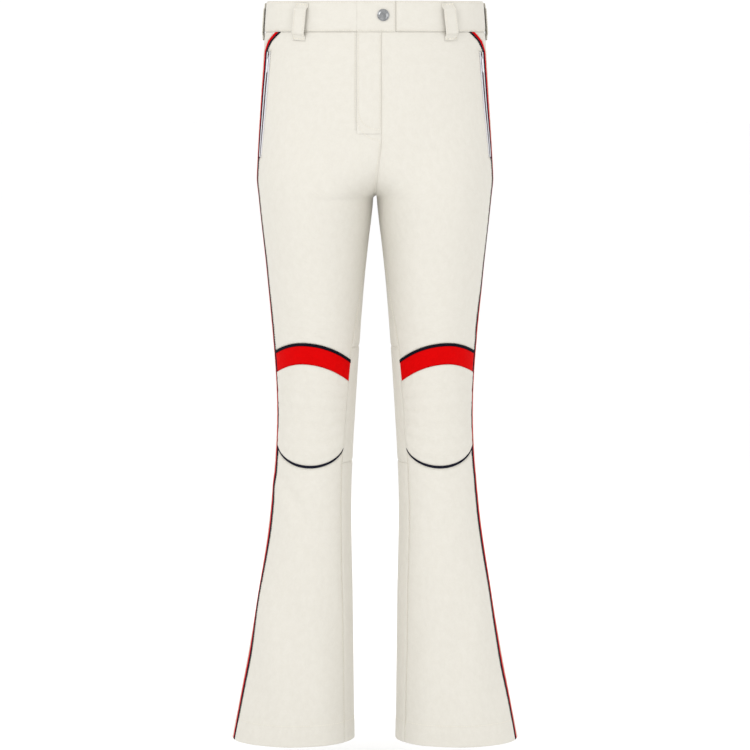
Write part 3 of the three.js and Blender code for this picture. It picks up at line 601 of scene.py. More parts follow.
# Shares of the way across at which a piece has its columns
def columnShares(start, end, rows, pitch):
    top, bottom = (float(row(np.array([0.5]))[0]) if callable(row) else row for row in (rows[0], rows[-1]))
    levels = np.linspace(top, bottom, 30)
    width = float(np.abs(end(levels) - start(levels)).max())
    share = np.linspace(0.0, 1.0, max(3, math.ceil(width / pitch)) + 1)
    near = np.array(rim["steps"]) / width
    margin = near[-1] * 1.25
    if width > rim["widest"]:
        share = share[(share > margin) & (share < 1 - margin)]
    else:
        share, near = share[1:-1], near[:1]
    return np.concatenate([[0.0], near, share, 1 - near[::-1], [1.0]])


# One piece of cloth between two girth edges and through rows of heights from top to bottom.
# Edges are named by their first letters, start, end, top and bottom: a plain one runs on into the
# next piece with no groove, and a folded one is rounded over but has no seam.
def clothPiece(name, nodes, side, start, end, rows, finish, drop=0.0, thick=1.6, pitch=5.0, **extra):
    plain, dip = extra.get("plain", ""), extra.get("dip", 1.0)
    share = extra.get("shares")
    if share is None:
        share = columnShares(start, end, rows, extra.get("columnPitch", pitch))
    z = fillRows(rows, share, pitch)
    p = np.broadcast_to(share, z.shape)
    begin, to = start(z), end(z)
    girth = extra["across"](z, p) if extra.get("across") else mix(begin, to, p)
    far = np.full(z.shape, 1e3)
    edges = {
        "s": np.abs(girth - begin),
        "e": np.abs(to - girth),
        "t": np.abs(z[:1] - z),
        "b": np.abs(z - z[-1:]),
    }
    if extra.get("edges"):
        edges.update(extra["edges"](girth, z))
    fromRim = np.minimum.reduce([d for key, d in edges.items() if key not in plain] or [far])
    plain += extra.get("folded", "")
    nearest = np.minimum.reduce([d for key, d in edges.items() if key not in plain] or [far])
    walkEdges = [np.minimum(edges["s"], edges["e"]), np.minimum(edges["t"], edges["b"])]
    walkAlong = np.where(walkEdges[0] < walkEdges[1], z, girth)
    wave = walkAlong * 2 * math.pi / seams["puckerLength"] + 1.7 * np.sin(walkAlong / 21.0)
    pucker = seams["pucker"] * np.exp(-nearest / seams["puckerReach"]) * np.sin(wave)
    lift = dip * (seamDip(nearest) + pucker * (1 - np.exp(-nearest / 2.0)))
    if extra.get("relief"):
        lift = lift + extra["relief"](girth, z, p, nearest)
    depth = drop(z, p) if callable(drop) else drop
    rounding = thick * rim["round"] * np.clip(1 - fromRim / rim["beside"], 0, 1)
    outer = skinPoint(side, girth, z, -depth + lift - rounding)
    inner = skinPoint(side, girth, z, -depth - thick + dip * np.minimum(lift, 0.0) * 0.6 + rounding)
    cloth = np.stack([girth, z, nearest], axis=-1)
    both = np.concatenate([cloth, cloth]).reshape(-1, 3)
    if extra.get("cells"):
        points, faces, used = closedCells(outer, inner, extra["cells"](z, girth))
        both = both[used]
    else:
        points, faces = closedGrid(outer, inner)
    thing = meshObject(name, points, faces, finish, cloth=both)
    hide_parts(*nodes)
    if extra.get("narrow"):
        return thing  # a tape, too narrow to count as a sheet
    if extra.get("pad") is not None:
        return thing
    smooth = skinPoint(side, girth, z, -depth, False)
    a, b = smooth[1:, 1:] - smooth[:-1, :-1], smooth[1:, :-1] - smooth[:-1, 1:]
    cells = np.linalg.norm(np.cross(a, b), axis=-1) / 2
    if extra.get("cells"):
        cells = cells * extra["cells"](z, girth)
    area = float(cells.sum()) * 1e-6
    long = float(np.linalg.norm(np.diff(smooth, axis=0), axis=-1).sum(axis=0).max()) * 0.001
    wide = float(np.linalg.norm(np.diff(smooth, axis=1), axis=-1).sum(axis=1).max()) * 0.001
    flat = (round(wide, 4), round(long, 4))
    area = round(min(area, flat[0] * flat[1]), 5)
    return thing


# Seam lines of the pattern, as girth at a height. The side line is 0, the front is positive
pattern = {
    "bandHeight": 45.0,
    "stripe": 7.0,
    "piping": 4.5,
    "pocketTop": 28.0,
    "pocketLength": 153.0,
    "pocketGap": 10.0,
    "flapEdge": 9.5,
    "flapLength": 145.0,
    "flapSeamEnd": 160.0,
    "tabHinge": 26.0,
    "tabReach": 30.0,
    "innerShift": 42.0,
    "settles": 65.0,
    "kneeBack": 85.0,
}
bandBottom = -pattern["bandHeight"]
flapBottom = bandBottom - pattern["flapLength"]
pocketStart = bandBottom - pattern["pocketTop"]
pocketEnd = pocketStart - pattern["pocketLength"]
stripeTurn = bandBottom - 13
stripeCurve = [(bandBottom, 54.0), (stripeTurn, 36.0), (pocketStart, 24.0), (pocketEnd, 22.0), (hem, 22.0)]


def stripeEdge(z):
    heights, widths = zip(*stripeCurve)
    return np.interp(-np.asarray(z, float), [-h for h in heights], widths)


def stripeSeam(z):
    return stripeEdge(z) - pattern["piping"]


def stripeBack(z):
    return stripeSeam(z) - pattern["stripe"]


def centreShift(z):
    start = bandBottom - pattern["flapSeamEnd"]
    return pattern["flapEdge"] * (1 - np.clip((start - z) / (start - crotch), 0, 1))


# How far the inner leg seam lies forward of the inner line
def seamShift(z):
    return pattern["innerShift"] * ease((crotch - z) / (crotch - knee - pattern["settles"]))


def innerSeam(z):
    return frontGirth(z) - seamShift(z)


def innerSeamFromBack(z):
    return -backGirth(z) - seamShift(z)


def acrossKnee(p):
    at = np.full(np.shape(p), knee)
    x = lambda q: skinPoint(1, mix(stripeEdge(at), innerSeam(at), q), at, 0.0, False)[..., 0]
    first, last = x(np.zeros_like(at)), x(np.ones_like(at))
    return (first - x(np.asarray(p, float))) / (first - last)


kneeShape = {
    "apex": 93.5, "apexAcross": 0.37, "dropOuter": 15.0, "dropInner": 27.5,
    "trim": 4.0, "trimTop": 2.4, "band": 26.5, "foot": 90.0, "footRise": 29.0,
}


def bandTop(p):
    t, top = acrossKnee(p), kneeShape["apexAcross"]
    outer = kneeShape["dropOuter"] * (np.maximum(0, top - t) / top) ** 2
    inner = kneeShape["dropInner"] * (np.maximum(0, t - top) / (1 - top)) ** 2
    return knee + kneeShape["apex"] - outer - inner


def panelBottom(p):
    t = 2 * acrossKnee(p) - 1
    return knee - kneeShape["foot"] + kneeShape["footRise"] * (1 - np.sqrt(np.maximum(0, 1 - t * t)))


def redTop(p):
    return bandTop(p) - kneeShape["trimTop"]


def redBottom(p):
    return bandTop(p) - kneeShape["trim"] - kneeShape["band"]


def panelEnd(p):
    return panelBottom(p) + kneeShape["trim"]


def bendAtKnee(thing):
    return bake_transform(thing)


# Sewing thread: one short rounded stitch after another along a line of points
thread = {"stitch": 2.7, "gap": 0.9, "radius": 0.33, "inset": 2.2, "rim": 2.6}


def stitchLines(name, lines, sides=5, finish="thread"):
    along = np.array([0.0, 0.18, 0.82, 1.0])
    girths = np.array([0.35, 1.0, 1.0, 0.35])
    points, faces, count = [], [], 0
    for line, normals, size in lines:
        steps = np.linalg.norm(np.diff(line, axis=0), axis=1)
        walk = np.concatenate([[0.0], np.cumsum(steps)])
        number = int(walk[-1] // (thread["stitch"] + thread["gap"]))
        if number < 1:
            continue
        starts = np.linspace(0.0, walk[-1] - thread["stitch"], number)
        at = starts[:, None] + along[None, :] * thread["stitch"]
        centre = np.stack([np.interp(at, walk, line[:, k]) for k in range(3)], axis=-1)
        up = np.stack([np.interp(at, walk, normals[:, k]) for k in range(3)], axis=-1)
        run = centre[:, -1] - centre[:, 0]
        run = run / np.linalg.norm(run, axis=1, keepdims=True)
        across = np.cross(run[:, None, :], up)
        across /= np.linalg.norm(across, axis=-1, keepdims=True)
        arch = np.array([-0.3, 0.25, 0.25, -0.3]) * thread["radius"]
        centre = centre + up * arch[None, :, None]
        for turn in np.arange(sides) * 2 * math.pi / sides:
            ring = across * math.cos(turn) + up * math.sin(turn)
            points.append(centre + ring * (girths * thread["radius"] * size)[None, :, None])
        block = np.stack(points[-sides:], axis=2)  # stitch, station, turn, xyz
        del points[-sides:]
        points.append(block.reshape(-1, 3))
        base = count + np.arange(number)[:, None, None] * (4 * sides)
        i, j = np.meshgrid(np.arange(3), np.arange(sides), indexing="ij")
        a, b = i * sides + j, i * sides + (j + 1) % sides
        quads = np.stack([a, b, b + sides, a + sides], axis=-1).reshape(1, -1, 4)
        faces.append((base + quads).reshape(-1, 4))
        caps = np.stack([np.arange(sides)[::-1], 3 * sides + np.arange(sides)])
        faces.append((base[:, :, :1].reshape(-1, 1, 1) + caps[None]).reshape(-1, sides))
        count += number * 4 * sides
    return meshObject(name, np.concatenate(points), faces, finish)


# Steps of one millimetre straight out of the smooth skin
def outwards(side, girth, z):
    return skinPoint(side, girth, z, 1.0, False) - skinPoint(side, girth, z, 0.0, False)


# A line on the skin with its outward directions and the thread's size
def skinLine(side, girth, z, lift=0.0, size=0.8):
    z = np.asarray(z, float)
    girth = girth(z) if callable(girth) else np.broadcast_to(girth, z.shape)
    return skinPoint(side, girth, z, lift), outwards(side, girth, z), size


# A stitch line across the front of the leg that follows a curve
def acrossLine(side, curve, lift=0.0, size=0.8):
    p = np.linspace(0.02, 0.98, 60)
    z = curve(p)
    return skinLine(side, mix(stripeEdge(z), innerSeam(z), p), z, lift, size)


def heights(top, bottom, pitch=4.0):
    return np.linspace(top, bottom, max(2, int(abs(top - bottom) / pitch)))


sides = ((-1, "right"), (1, "left"))


# Legs: front and back panels, stripes, knees, shins and cuffs
def buildUpperLeg(side, word):
    right = side < 0
    gap, flapWide = pattern["pocketGap"], pattern["tabHinge"]

    def centre(z):
        on = frontGirth(z)
        return np.where(z < crotch, innerSeam(z), on + centreShift(z) * (1 if right else -1))

    def flapLine(z):
        return np.where(z < crotch, innerSeam(z), frontGirth(z)) - flapWide

    # Columns in three groups: beside the pocket's slot, the main width, and under the flap's line
    groups = [np.linspace(0, 1, 7), np.concatenate([[0.004, 0.014], np.linspace(0, 1, 26)[1:]])]
    groups.append(np.concatenate([np.linspace(0, 0.88, 7)[1:], [0.93, 0.975, 1.0]]))
    shares = np.concatenate([g + k for k, g in enumerate(groups)]) / 3

    def across(z, p):
        edge, slotSide, line = stripeEdge(z), stripeEdge(z) + gap, flapLine(z)
        t = p * 3
        inner = np.where(t <= 2, mix(slotSide, line, np.clip(t - 1, 0, 1)), mix(line, centre(z), t - 2))
        return np.where(t <= 1, mix(edge, slotSide, t), inner)

    def kept(z, girth):
        middle = (z[1:, 1:] + z[:-1, :-1]) / 2
        reach = (girth[1:, 1:] + girth[:-1, :-1]) / 2
        slotCell = (reach < stripeEdge(middle) + gap) & (middle < pocketStart) & (middle > pocketEnd)
        flapCell = (reach > flapLine(middle)) & (middle > flapBottom) & right
        return ~slotCell & ~flapCell

    def edges(girth, z):
        inSlot = (z < pocketStart + 0.01) & (z > pocketEnd - 0.01)
        beyond = np.maximum(np.maximum(z - pocketStart, pocketEnd - z), 0)
        fromSlot = np.hypot(np.maximum(girth - stripeEdge(z) - gap, 0), beyond)
        fromEnd = centre(z) - girth
        if right:
            fromEnd = np.where(z > flapBottom, 1e3, fromEnd)
        fromEdge = np.where(inSlot, 1e3, girth - stripeEdge(z))
        return {"s": np.minimum(fromEdge, fromSlot), "e": fromEnd}

    def overKnee(p):
        z = np.full(np.shape(p), knee + kneeShape["apex"])
        for _ in range(4):
            z = bandTop((across(z, p) - stripeEdge(z)) / (innerSeam(z) - stripeEdge(z)))
        return z

    last = knee + kneeShape["apex"] + 15
    rows = [bandBottom, pocketStart, flapBottom, pocketEnd, last, overKnee]
    front = clothPiece(
        word + "_front_thigh_cloth", [word + "_front_thigh"], side, stripeEdge, centre, rows, "shell_cloth",
        shares=shares, across=across, cells=kept, edges=edges,
    )
    bendAtKnee(front)

    def backEnd(z):
        return np.where(z > crotch, -backGirth(z), innerSeamFromBack(z))

    rows = [bandBottom, stripeTurn, pocketStart, knee + pattern["kneeBack"]]
    back = clothPiece(
        word + "_back_thigh_cloth", [word + "_back_thigh"], side, stripeBack, backEnd, rows, "shell_cloth"
    )
    bendAtKnee(back)


def buildStripe(side, word):
    rows = [bandBottom, stripeTurn, pocketStart, hem]
    for name, start, end, finish in (
        ("side_stripe", stripeBack, stripeSeam, "stripe_red"),
        ("side_piping", stripeSeam, stripeEdge, "piping_navy"),
    ):
        crown = 1.1 if finish == "piping_navy" else 0.45

        def relief(g, z, p, d, crown=crown):
            return crown * (1 - (2 * p - 1) ** 2)

        strip = clothPiece(
            f"{word}_{name}_tape", [f"{word}_{name}"], side, start, end, rows, finish,
            relief=relief, dip=0.45, pitch=4.0, columnPitch=1.6, narrow=True,
        )
        bendAtKnee(strip)


# Quilting of the knee: rows of stitching, how high the wadding lifts the cloth between them, and the
# pressure, mass of a vertex and frames of the simulation that gives the swell its form
quilting = {
    "channels": 6, "loft": 1.7, "thick": 1.8, "proud": 1.2,
    "pressure": 300.0, "mass": 0.0005, "frames": 16,
}


def channelLines(p):
    n = quilting["channels"]
    return [mix(redBottom(p), panelEnd(p), (k + 0.5) / n) for k in range(n)]


# Cloth simulation of one knee: the panel swells between its sewn lines and its edges
def swellPanel(points, faces, held):
    mesh = bpy.data.meshes.new("swelling")
    mesh.from_pydata((points * 0.001).tolist(), [], [f for block in faces for f in block.tolist()])
    pad = bpy.data.objects.new("swelling", mesh)
    bpy.context.scene.collection.objects.link(pad)
    group = pad.vertex_groups.new(name="sewn")
    held = np.round(held, 2)
    for level in np.unique(held[held > 0]):
        group.add(np.nonzero(held == level)[0].tolist(), float(level), "REPLACE")
    cloth = pad.modifiers.new("cloth", "CLOTH")
    cloth.settings.vertex_group_mass = "sewn"
    cloth.settings.use_pressure = True
    cloth.settings.uniform_pressure_force = quilting["pressure"]
    cloth.settings.effector_weights.gravity = 0.0
    cloth.settings.tension_stiffness = cloth.settings.compression_stiffness = 12.0
    cloth.settings.bending_stiffness = 0.4
    cloth.settings.quality = 6
    cloth.settings.mass = quilting["mass"]
    cloth.collision_settings.use_self_collision = False
    scene = bpy.context.scene
    for step in range(1, quilting["frames"] + 1):
        scene.frame_set(step)
    swollen = pad.evaluated_get(bpy.context.evaluated_depsgraph_get())
    moved = np.empty(len(points) * 3)
    swollen.data.vertices.foreach_get("co", moved)
    scene.frame_set(1)
    bpy.data.objects.remove(pad)
    return moved.reshape(-1, 3) * 1000.0 - points


kneeSwell = {}


def buildKneePanel(side, word):
    share = np.linspace(0.0, 1.0, 57)
    z = np.array([mix(redBottom(share), panelEnd(share), t) for t in np.linspace(0.0, 1.0, 55)])
    p = np.broadcast_to(share, z.shape)
    start, end = stripeEdge(z), innerSeam(z)
    girth = mix(start, end, p)
    edge = np.minimum.reduce([girth - start, end - girth, z[:1] - z, z - z[-1:]])
    channel = np.minimum.reduce([np.abs(z - line) for line in channelLines(share)])
    nearest = np.minimum(edge, channel)
    proud = quilting["proud"]
    outer = skinPoint(side, girth, z, proud)
    inner = skinPoint(side, girth, z, proud - quilting["thick"])
    points, faces = closedGrid(outer, inner)
    sewn = np.clip(1.0 - nearest / 1.5, 0.0, 1.0)
    sewn = np.where(nearest < 0.9, 1.0, sewn * 0.5)
    held = np.concatenate([sewn.reshape(-1), np.ones(sewn.size)])
    count = outer.shape[0] * outer.shape[1]
    normal = outwards(side, girth, z)
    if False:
        between = np.clip(nearest / 8.2, 0.0, 1.0)
        swell = quilting["loft"] * np.sqrt(1 - (1 - between) ** 2)
    elif "lift" in kneeSwell:
        swell = kneeSwell["lift"]
    else:
        moved = swellPanel(points, faces, held)[:count].reshape(outer.shape)
        swell = np.clip((moved * normal).sum(axis=-1), 0.0, None)
        swell = np.minimum(swell / max(float(np.quantile(swell, 0.97)), 1e-6), 1.1) * quilting["loft"]
        print("knee swelled by", round(float(swell.max()), 2), "mm")
        kneeSwell["lift"] = swell
    # Gathers of cloth beside each row of stitching, different at each row
    gather = np.sin(girth / 2.6 + 2.2 * np.sin(z / 9.0) + 0.9 * np.sin(girth / 11.0))
    gather = gather * np.exp(-((nearest - 2.6) / 2.6) ** 2) * 0.22
    sunk = -0.75 * np.exp(-((channel / 1.1) ** 2)) - 0.9 * np.exp(-((edge / 1.4) ** 2))
    lift = (0.85 * swell + gather + sunk)[..., None]
    points, faces = closedGrid(outer + normal * lift, inner)
    cloth = np.stack([girth, z, nearest], axis=-1)
    both = np.concatenate([cloth, cloth]).reshape(-1, 3)
    panel = meshObject(word + "_knee_quilted_panel", points, faces, "shell_cloth", cloth=both)
    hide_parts(word + "_knee_panel")
    bendAtKnee(panel)


def buildKnee(side, word):
    trims = (
        ("knee_piping_top", [bandTop, redTop], "piping_navy", 0.6, 0.5),
        ("knee_band", [redTop, redBottom], "stripe_red", 0.0, 0.6),
        ("knee_piping_bottom", [panelEnd, panelBottom], "piping_navy", 0.6, 0.5),
    )
    for name, rows, finish, proud, crown in trims:

        def relief(g, z, p, d, crown=crown):
            return crown * (1 - np.exp(-d / 1.6))

        piece = clothPiece(
            f"{word}_{name}_cloth", [f"{word}_{name}"], side, stripeEdge, innerSeam, rows, finish,
            drop=-proud, thick=1.6 + proud, relief=relief, dip=0.5, pitch=3.0, narrow=rows[0] is not redTop,
        )
        bendAtKnee(piece)
    buildKneePanel(side, word)
    inTop, inBottom = lambda p: redBottom(p) - 9, lambda p: panelEnd(p) + 9
    wadding = clothPiece(
        word + "_knee_wadding_pad", [word + "_knee_wadding"], side, lambda z: stripeEdge(z) + 9,
        lambda z: innerSeam(z) - 9, [inTop, inBottom], "wadding", drop=1.8, thick=2.9, pitch=5.0, dip=0.4, pad=0.5,
    )
    bendAtKnee(wadding)
    rows = [knee + pattern["kneeBack"], knee - pattern["kneeBack"]]
    back = clothPiece(
        word + "_knee_back_cloth", [word + "_knee_back"], side, stripeBack, innerSeamFromBack, rows, "shell_cloth"
    )
    bendAtKnee(back)


# Hem and gaiter: turn-up, facing, inner gaiter drawn in to the boot, grip elastic
cuff = {
    "turnUp": 31.0, "facing": 35.0, "gaiterTop": 205.0, "gaiterFoot": 40.0, "draw": 28.0,
    "grip": 22.0, "under": 2.8, "ribs": 26,
}


def buildShin(side, word):
    def turnUp(g, z, p, d):
        return 0.5 * ease((hem + cuff["turnUp"] - z) / 4.0)

    rows = [panelBottom, knee - kneeShape["foot"] - 15, hem]
    front = clothPiece(
        word + "_front_shin_cloth", [word + "_front_shin"], side, stripeEdge, innerSeam, rows, "shell_cloth",
        relief=turnUp, folded="b",
    )
    rows = [knee - pattern["kneeBack"], hem]
    back = clothPiece(
        word + "_back_shin_cloth", [word + "_back_shin"], side, stripeBack, innerSeamFromBack, rows, "shell_cloth",
        relief=turnUp, folded="b",
    )
    for piece in (front, back):
        bendAtKnee(piece)


def buildCuff(side, word):
    top, foot = hem + cuff["gaiterTop"], hem + cuff["gaiterFoot"]

    def ringStart(z):
        return -backGirth(z) + 0.1

    def ringEnd(z):
        return frontGirth(z) - 0.1

    def gaiterDrop(z, p):
        return cuff["under"] + cuff["draw"] * ease((top - z) / (top - foot))

    def gathers(g, z, p, d):
        drawn = ease((top - z) / (top - foot))
        return 0.9 * drawn * np.sin(p * 2 * math.pi * cuff["ribs"] + 1.5 * np.sin(p * 19.0))

    ring = {"dip": 0.25}
    facing = clothPiece(
        word + "_hem_facing_cloth", [word + "_hem_facing"], side, ringStart, ringEnd,
        [hem + cuff["facing"], hem], "lining_cloth", drop=cuff["under"], thick=1.0, held="folded", **ring,
    )
    gaiter = clothPiece(
        word + "_gaiter_cloth", [word + "_gaiter"], side, ringStart, ringEnd, [top, foot], "lining_cloth",
        drop=gaiterDrop, thick=1.0, relief=gathers, held="gathered", columnPitch=3.0, **ring,
    )
    gripTop = foot + cuff["grip"]
    grip = clothPiece(
        word + "_gaiter_grip_band", [word + "_gaiter_grip"], side, ringStart, ringEnd, [gripTop, foot],
        "grip_elastic", drop=lambda z, p: gaiterDrop(z, p) + 2.2, thick=1.0, relief=gathers, held="stretched",
        pitch=4.0, columnPitch=3.0, **ring,
    )
    for piece in (facing, gaiter, grip):
        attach(piece, word + "_shin")


# Pocket bag of soft lining behind the side pocket
bag = {"reach": (3.0, 100.0), "length": 225.0, "drop": 8.0, "thick": 2.4}


def buildPocketBag(side, word):
    start = bandBottom - 1

    def drop(z, p):
        return 1.6 + mix(0.8, bag["drop"], ease((start - z) / pattern["pocketTop"]))

    def sag(g, z, p, d):
        return -0.9 * ease((start - z) / 120.0) * (0.5 + 0.5 * np.sin(p * 14.0 + z / 40.0)) * np.sin(p * math.pi)

    piece = clothPiece(
        word + "_pocket_bag_lining", [word + "_pocket_bag"], side, lambda z: stripeEdge(z) + bag["reach"][0],
        lambda z: np.full(np.shape(z), float(stripeEdge(pocketEnd)) + bag["reach"][1]),
        [start, start - 9, start - 18, pocketStart, start - bag["length"]], "lining_cloth",
        drop=drop, thick=bag["thick"], relief=sag, dip=0.4, pitch=6.0,
    )
    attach(piece, "pants")


for side, word in sides:
    buildUpperLeg(side, word)
    buildStripe(side, word)
    buildKnee(side, word)
    buildShin(side, word)
    buildCuff(side, word)
    buildPocketBag(side, word)
print("legs built")

# Waistband, its facing, the tab and underlap
waist = {
    "thick": 4.4, "tab": 2.0, "underlap": (18.0, 48.0), "underlapDrop": 5.2, "facing": 1.4,
    "swell": 0.55, "swellReach": 5.0,
}


def bandSwell(distance):
    return waist["swell"] * (1 - np.exp(-distance / waist["swellReach"]))


def buildWaist():
    rows = [0.0, bandBottom]

    def centreBack(z):
        return -backGirth(z)

    def rightEnd(z):
        return frontGirth(z) - pattern["tabHinge"]

    def leftEnd(z):
        return frontGirth(z) - pattern["tabReach"]

    def soft(g, z, p, d):
        return bandSwell(d) + 0.12 * np.sin(g / 17.0 + z / 9.0)

    band = {"thick": waist["thick"], "pitch": 4.5, "relief": soft, "held": "folded"}
    for side, word, end, flatEnds in ((-1, "right", rightEnd, "se"), (1, "left", leftEnd, "s")):
        piece = clothPiece(
            "waistband_" + word + "_cloth", ["waistband_" + word], side, centreBack, end, rows, "shell_cloth",
            plain=flatEnds, **band,
        )
        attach(piece, "pants")
    facing = clothPiece(
        "waistband_facing_cloth", ["waistband_facing"], 1, lambda z: frontGirth(z) - waist["underlap"][1],
        lambda z: -2 * backGirth(z) - frontGirth(z) + waist["underlap"][0], rows, "lining_cloth",
        drop=waist["underlapDrop"], thick=waist["facing"], dip=0.3, held="folded",
    )
    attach(facing, "pants")
    tab = clothPiece(
        "waist_tab_cloth", ["waist_tab"], 1, lambda z: frontGirth(z) + pattern["tabHinge"], leftEnd, rows,
        "shell_cloth", thick=waist["tab"], pitch=3.0, plain="s", relief=tabRelief, held="folded",
    )
    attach(tab, "waist_tab")
    underlap = clothPiece(
        "waist_underlap_cloth", ["waist_underlap"], 1, lambda z: frontGirth(z) + waist["underlap"][0],
        lambda z: frontGirth(z) - waist["underlap"][1], rows, "shell_cloth", drop=waist["underlapDrop"],
        thick=waist["facing"], pitch=4.0, dip=0.3, held="folded",
    )
    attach(underlap, "pants")


# The tab is as soft as the band it runs on from, and pressed in round the snap
def tabRelief(g, z, p, d):
    away = np.hypot(g - frontGirth(z) + snap["at"][0], z + snap["at"][1])
    return bandSwell(d) - 0.75 * np.exp(-((away / 10.5) ** 6))


snap = {"at": (11.8, 20.9), "radius": 8.7, "dome": 3.2}

# Fly: flap, its facing, the shield behind the zip
fly = {
    "facing": (7.0, 40.0), "shield": (20.0, 48.0), "shieldDrop": 12.7, "line": (-0.026, -0.085),
    "zipDown": 8.0, "zipLength": 128.0,
}


# The fly's cloth keeps its place: its transform is applied to its mesh
def openWithTab(thing):
    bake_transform(thing)


def buildFly():
    rows = [bandBottom, flapBottom]

    def hinge(z):
        return frontGirth(z) - pattern["tabHinge"]

    def edge(z):
        return frontGirth(z) + pattern["flapEdge"]

    def soft(g, z, p, d):
        return 0.3 * ease((g - frontGirth(z) + 14.0) / 12.0) * ease((z - flapBottom) / 12.0)

    flap = clothPiece(
        "fly_flap_cloth", ["fly_flap"], -1, hinge, edge, rows, "shell_cloth", plain="sb", relief=soft, pitch=4.0
    )
    openWithTab(flap)
    facing = clothPiece(
        "fly_facing_cloth", ["fly_facing"], -1, lambda z: frontGirth(z) - fly["facing"][1],
        lambda z: frontGirth(z) - fly["facing"][0], rows, "lining_cloth", drop=1.9, thick=0.6, dip=0.2,
    )

    def shieldDrop(z, p):
        return mix(1.9, fly["shieldDrop"], ease(p / 0.3))

    shield = clothPiece(
        "fly_shield_cloth", ["fly_shield"], 1, lambda z: frontGirth(z) - fly["shield"][1],
        lambda z: frontGirth(z) + fly["shield"][0], rows, "lining_cloth", drop=shieldDrop, thick=1.2, dip=0.2,
    )
    for piece in (facing, shield):
        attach(piece, "pants")


buildWaist()
buildFly()
print("waist and fly built")


# Belt loops: a strap of folded cloth sewn down at both ends, standing off the band between
loops = {
    "width": 20.0, "height": 54.0, "thick": 1.8, "room": 5.0, "sideRoom": 1.4, "foot": 5.0, "top": 3.0,
    "frontAt": 110.0, "lean": 6.3, "sideBack": 6.0,
}


def frameBetween(top, bottom, normal, drop):
    up = (top - bottom) / np.linalg.norm(top - bottom)
    out = normal - up * float(normal @ up)
    out /= np.linalg.norm(out)
    across = np.cross(out, up)
    return np.stack([across, out, up], axis=1), top - out * drop


def skinSpot(side, girth, z):
    return skinPoint(side, float(girth), float(z), 0.0, False)


def skinOut(side, girth, z):
    out = skinPoint(side, float(girth), float(z), 1.0, False) - skinSpot(side, girth, z)
    return out / np.linalg.norm(out)


def frameOnSkin(side, girth, z, reach):
    high, low = (skinSpot(side, girth(z + d), z + d) for d in (reach, -reach))
    axes, _ = frameBetween(high, low, skinOut(side, girth(z), z), 0.0)
    return axes, (high + low) / 2


def placed(axesAt, points):
    axes, origin = axesAt
    return np.asarray(points, float) @ axes.T + origin


def buildLoop(name, side, girth, lean, room=loops["room"]):
    half = loops["height"] / 2
    axesAt = frameOnSkin(side, girth, -loops["top"] - half, half - 1)
    turn = math.radians(lean)
    tilt = np.array([[math.cos(turn), 0, math.sin(turn)], [0, 1, 0], [-math.sin(turn), 0, math.cos(turn)]])
    axesAt = (axesAt[0] @ tilt, axesAt[1])
    low, high = 0.3 + loops["thick"] / 2, 0.3 + room + loops["thick"] / 2
    inner = half - loops["foot"]
    along = np.concatenate([np.linspace(-half, -inner, 5), np.linspace(-inner, inner, 41)[1:-1]])
    along = np.concatenate([along, np.linspace(inner, half, 5)])
    rise = ease((inner - np.abs(along)) / 5.2)
    offset = mix(low, high, rise)
    across = np.linspace(-1, 1, 15)
    edge = np.clip((1 - np.abs(across)) / 0.09, 0, 1) ** 0.5
    x = across * loops["width"] / 2
    tack = np.minimum(np.abs(along - half + 2.2), np.abs(along + half - 2.2))
    outer = np.empty((len(along), len(across), 3))
    inside = np.empty_like(outer)
    for i, (z, y) in enumerate(zip(along, offset)):
        crown = 0.35 * np.cos(across * math.pi / 2) - 0.35 * np.exp(-((np.abs(across) - 0.78) / 0.07) ** 2)
        pressed = -0.5 * math.exp(-((tack[i] / 1.3) ** 2))
        thick = loops["thick"] / 2 * (0.45 + 0.55 * edge)
        outer[i] = np.stack([x, y + thick + crown * 0.6 + pressed, np.full_like(x, z)], axis=-1)
        inside[i] = np.stack([x, y - thick, np.full_like(x, z)], axis=-1)
    points, faces = closedGrid(placed(axesAt, outer), placed(axesAt, inside))
    grid = np.stack(np.broadcast_arrays(x[None, :], along[:, None], 6.0 * (1 - np.abs(across))[None, :]), axis=-1)
    both = np.concatenate([grid, grid]).reshape(-1, 3)
    strap = meshObject(name + "_strap", points, faces, "shell_cloth", cloth=both)
    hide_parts(name)
    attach(strap, "pants")
    lines = []
    for hand in (-0.78, 0.78):
        z = np.linspace(-half + 3.5, half - 3.5, 60)
        y = np.interp(z, along, offset) + loops["thick"] / 2 + 0.12
        line = placed(axesAt, np.stack([np.full_like(z, hand * loops["width"] / 2), y, z], axis=-1))
        lines.append((line, np.broadcast_to(axesAt[0][:, 1], line.shape), 0.8))
    for end in (-1, 1):
        for row in (1.7, 2.3, 2.9):
            xs = np.linspace(-0.86, 0.86, 30) * loops["width"] / 2
            spots = [xs, np.full_like(xs, low + loops["thick"] / 2 - 0.25), np.full_like(xs, end * (half - row))]
            line = placed(axesAt, np.stack(spots, axis=-1))
            lines.append((line, np.broadcast_to(axesAt[0][:, 1], line.shape), 0.95))
    sewn = stitchLines(name + "_stitching", lines)
    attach(sewn, "pants")


for side, word in sides:
    buildLoop("belt_loop_front_" + word, side, lambda z: frontGirth(z) - loops["frontAt"], side * loops["lean"])
    buildLoop("belt_loop_side_" + word, side, lambda z: -loops["sideBack"], 0.0, loops["sideRoom"])
buildLoop("belt_loop_back", 1, lambda z: 1e-3 - backGirth(z), 0.0)
print("belt loops built")


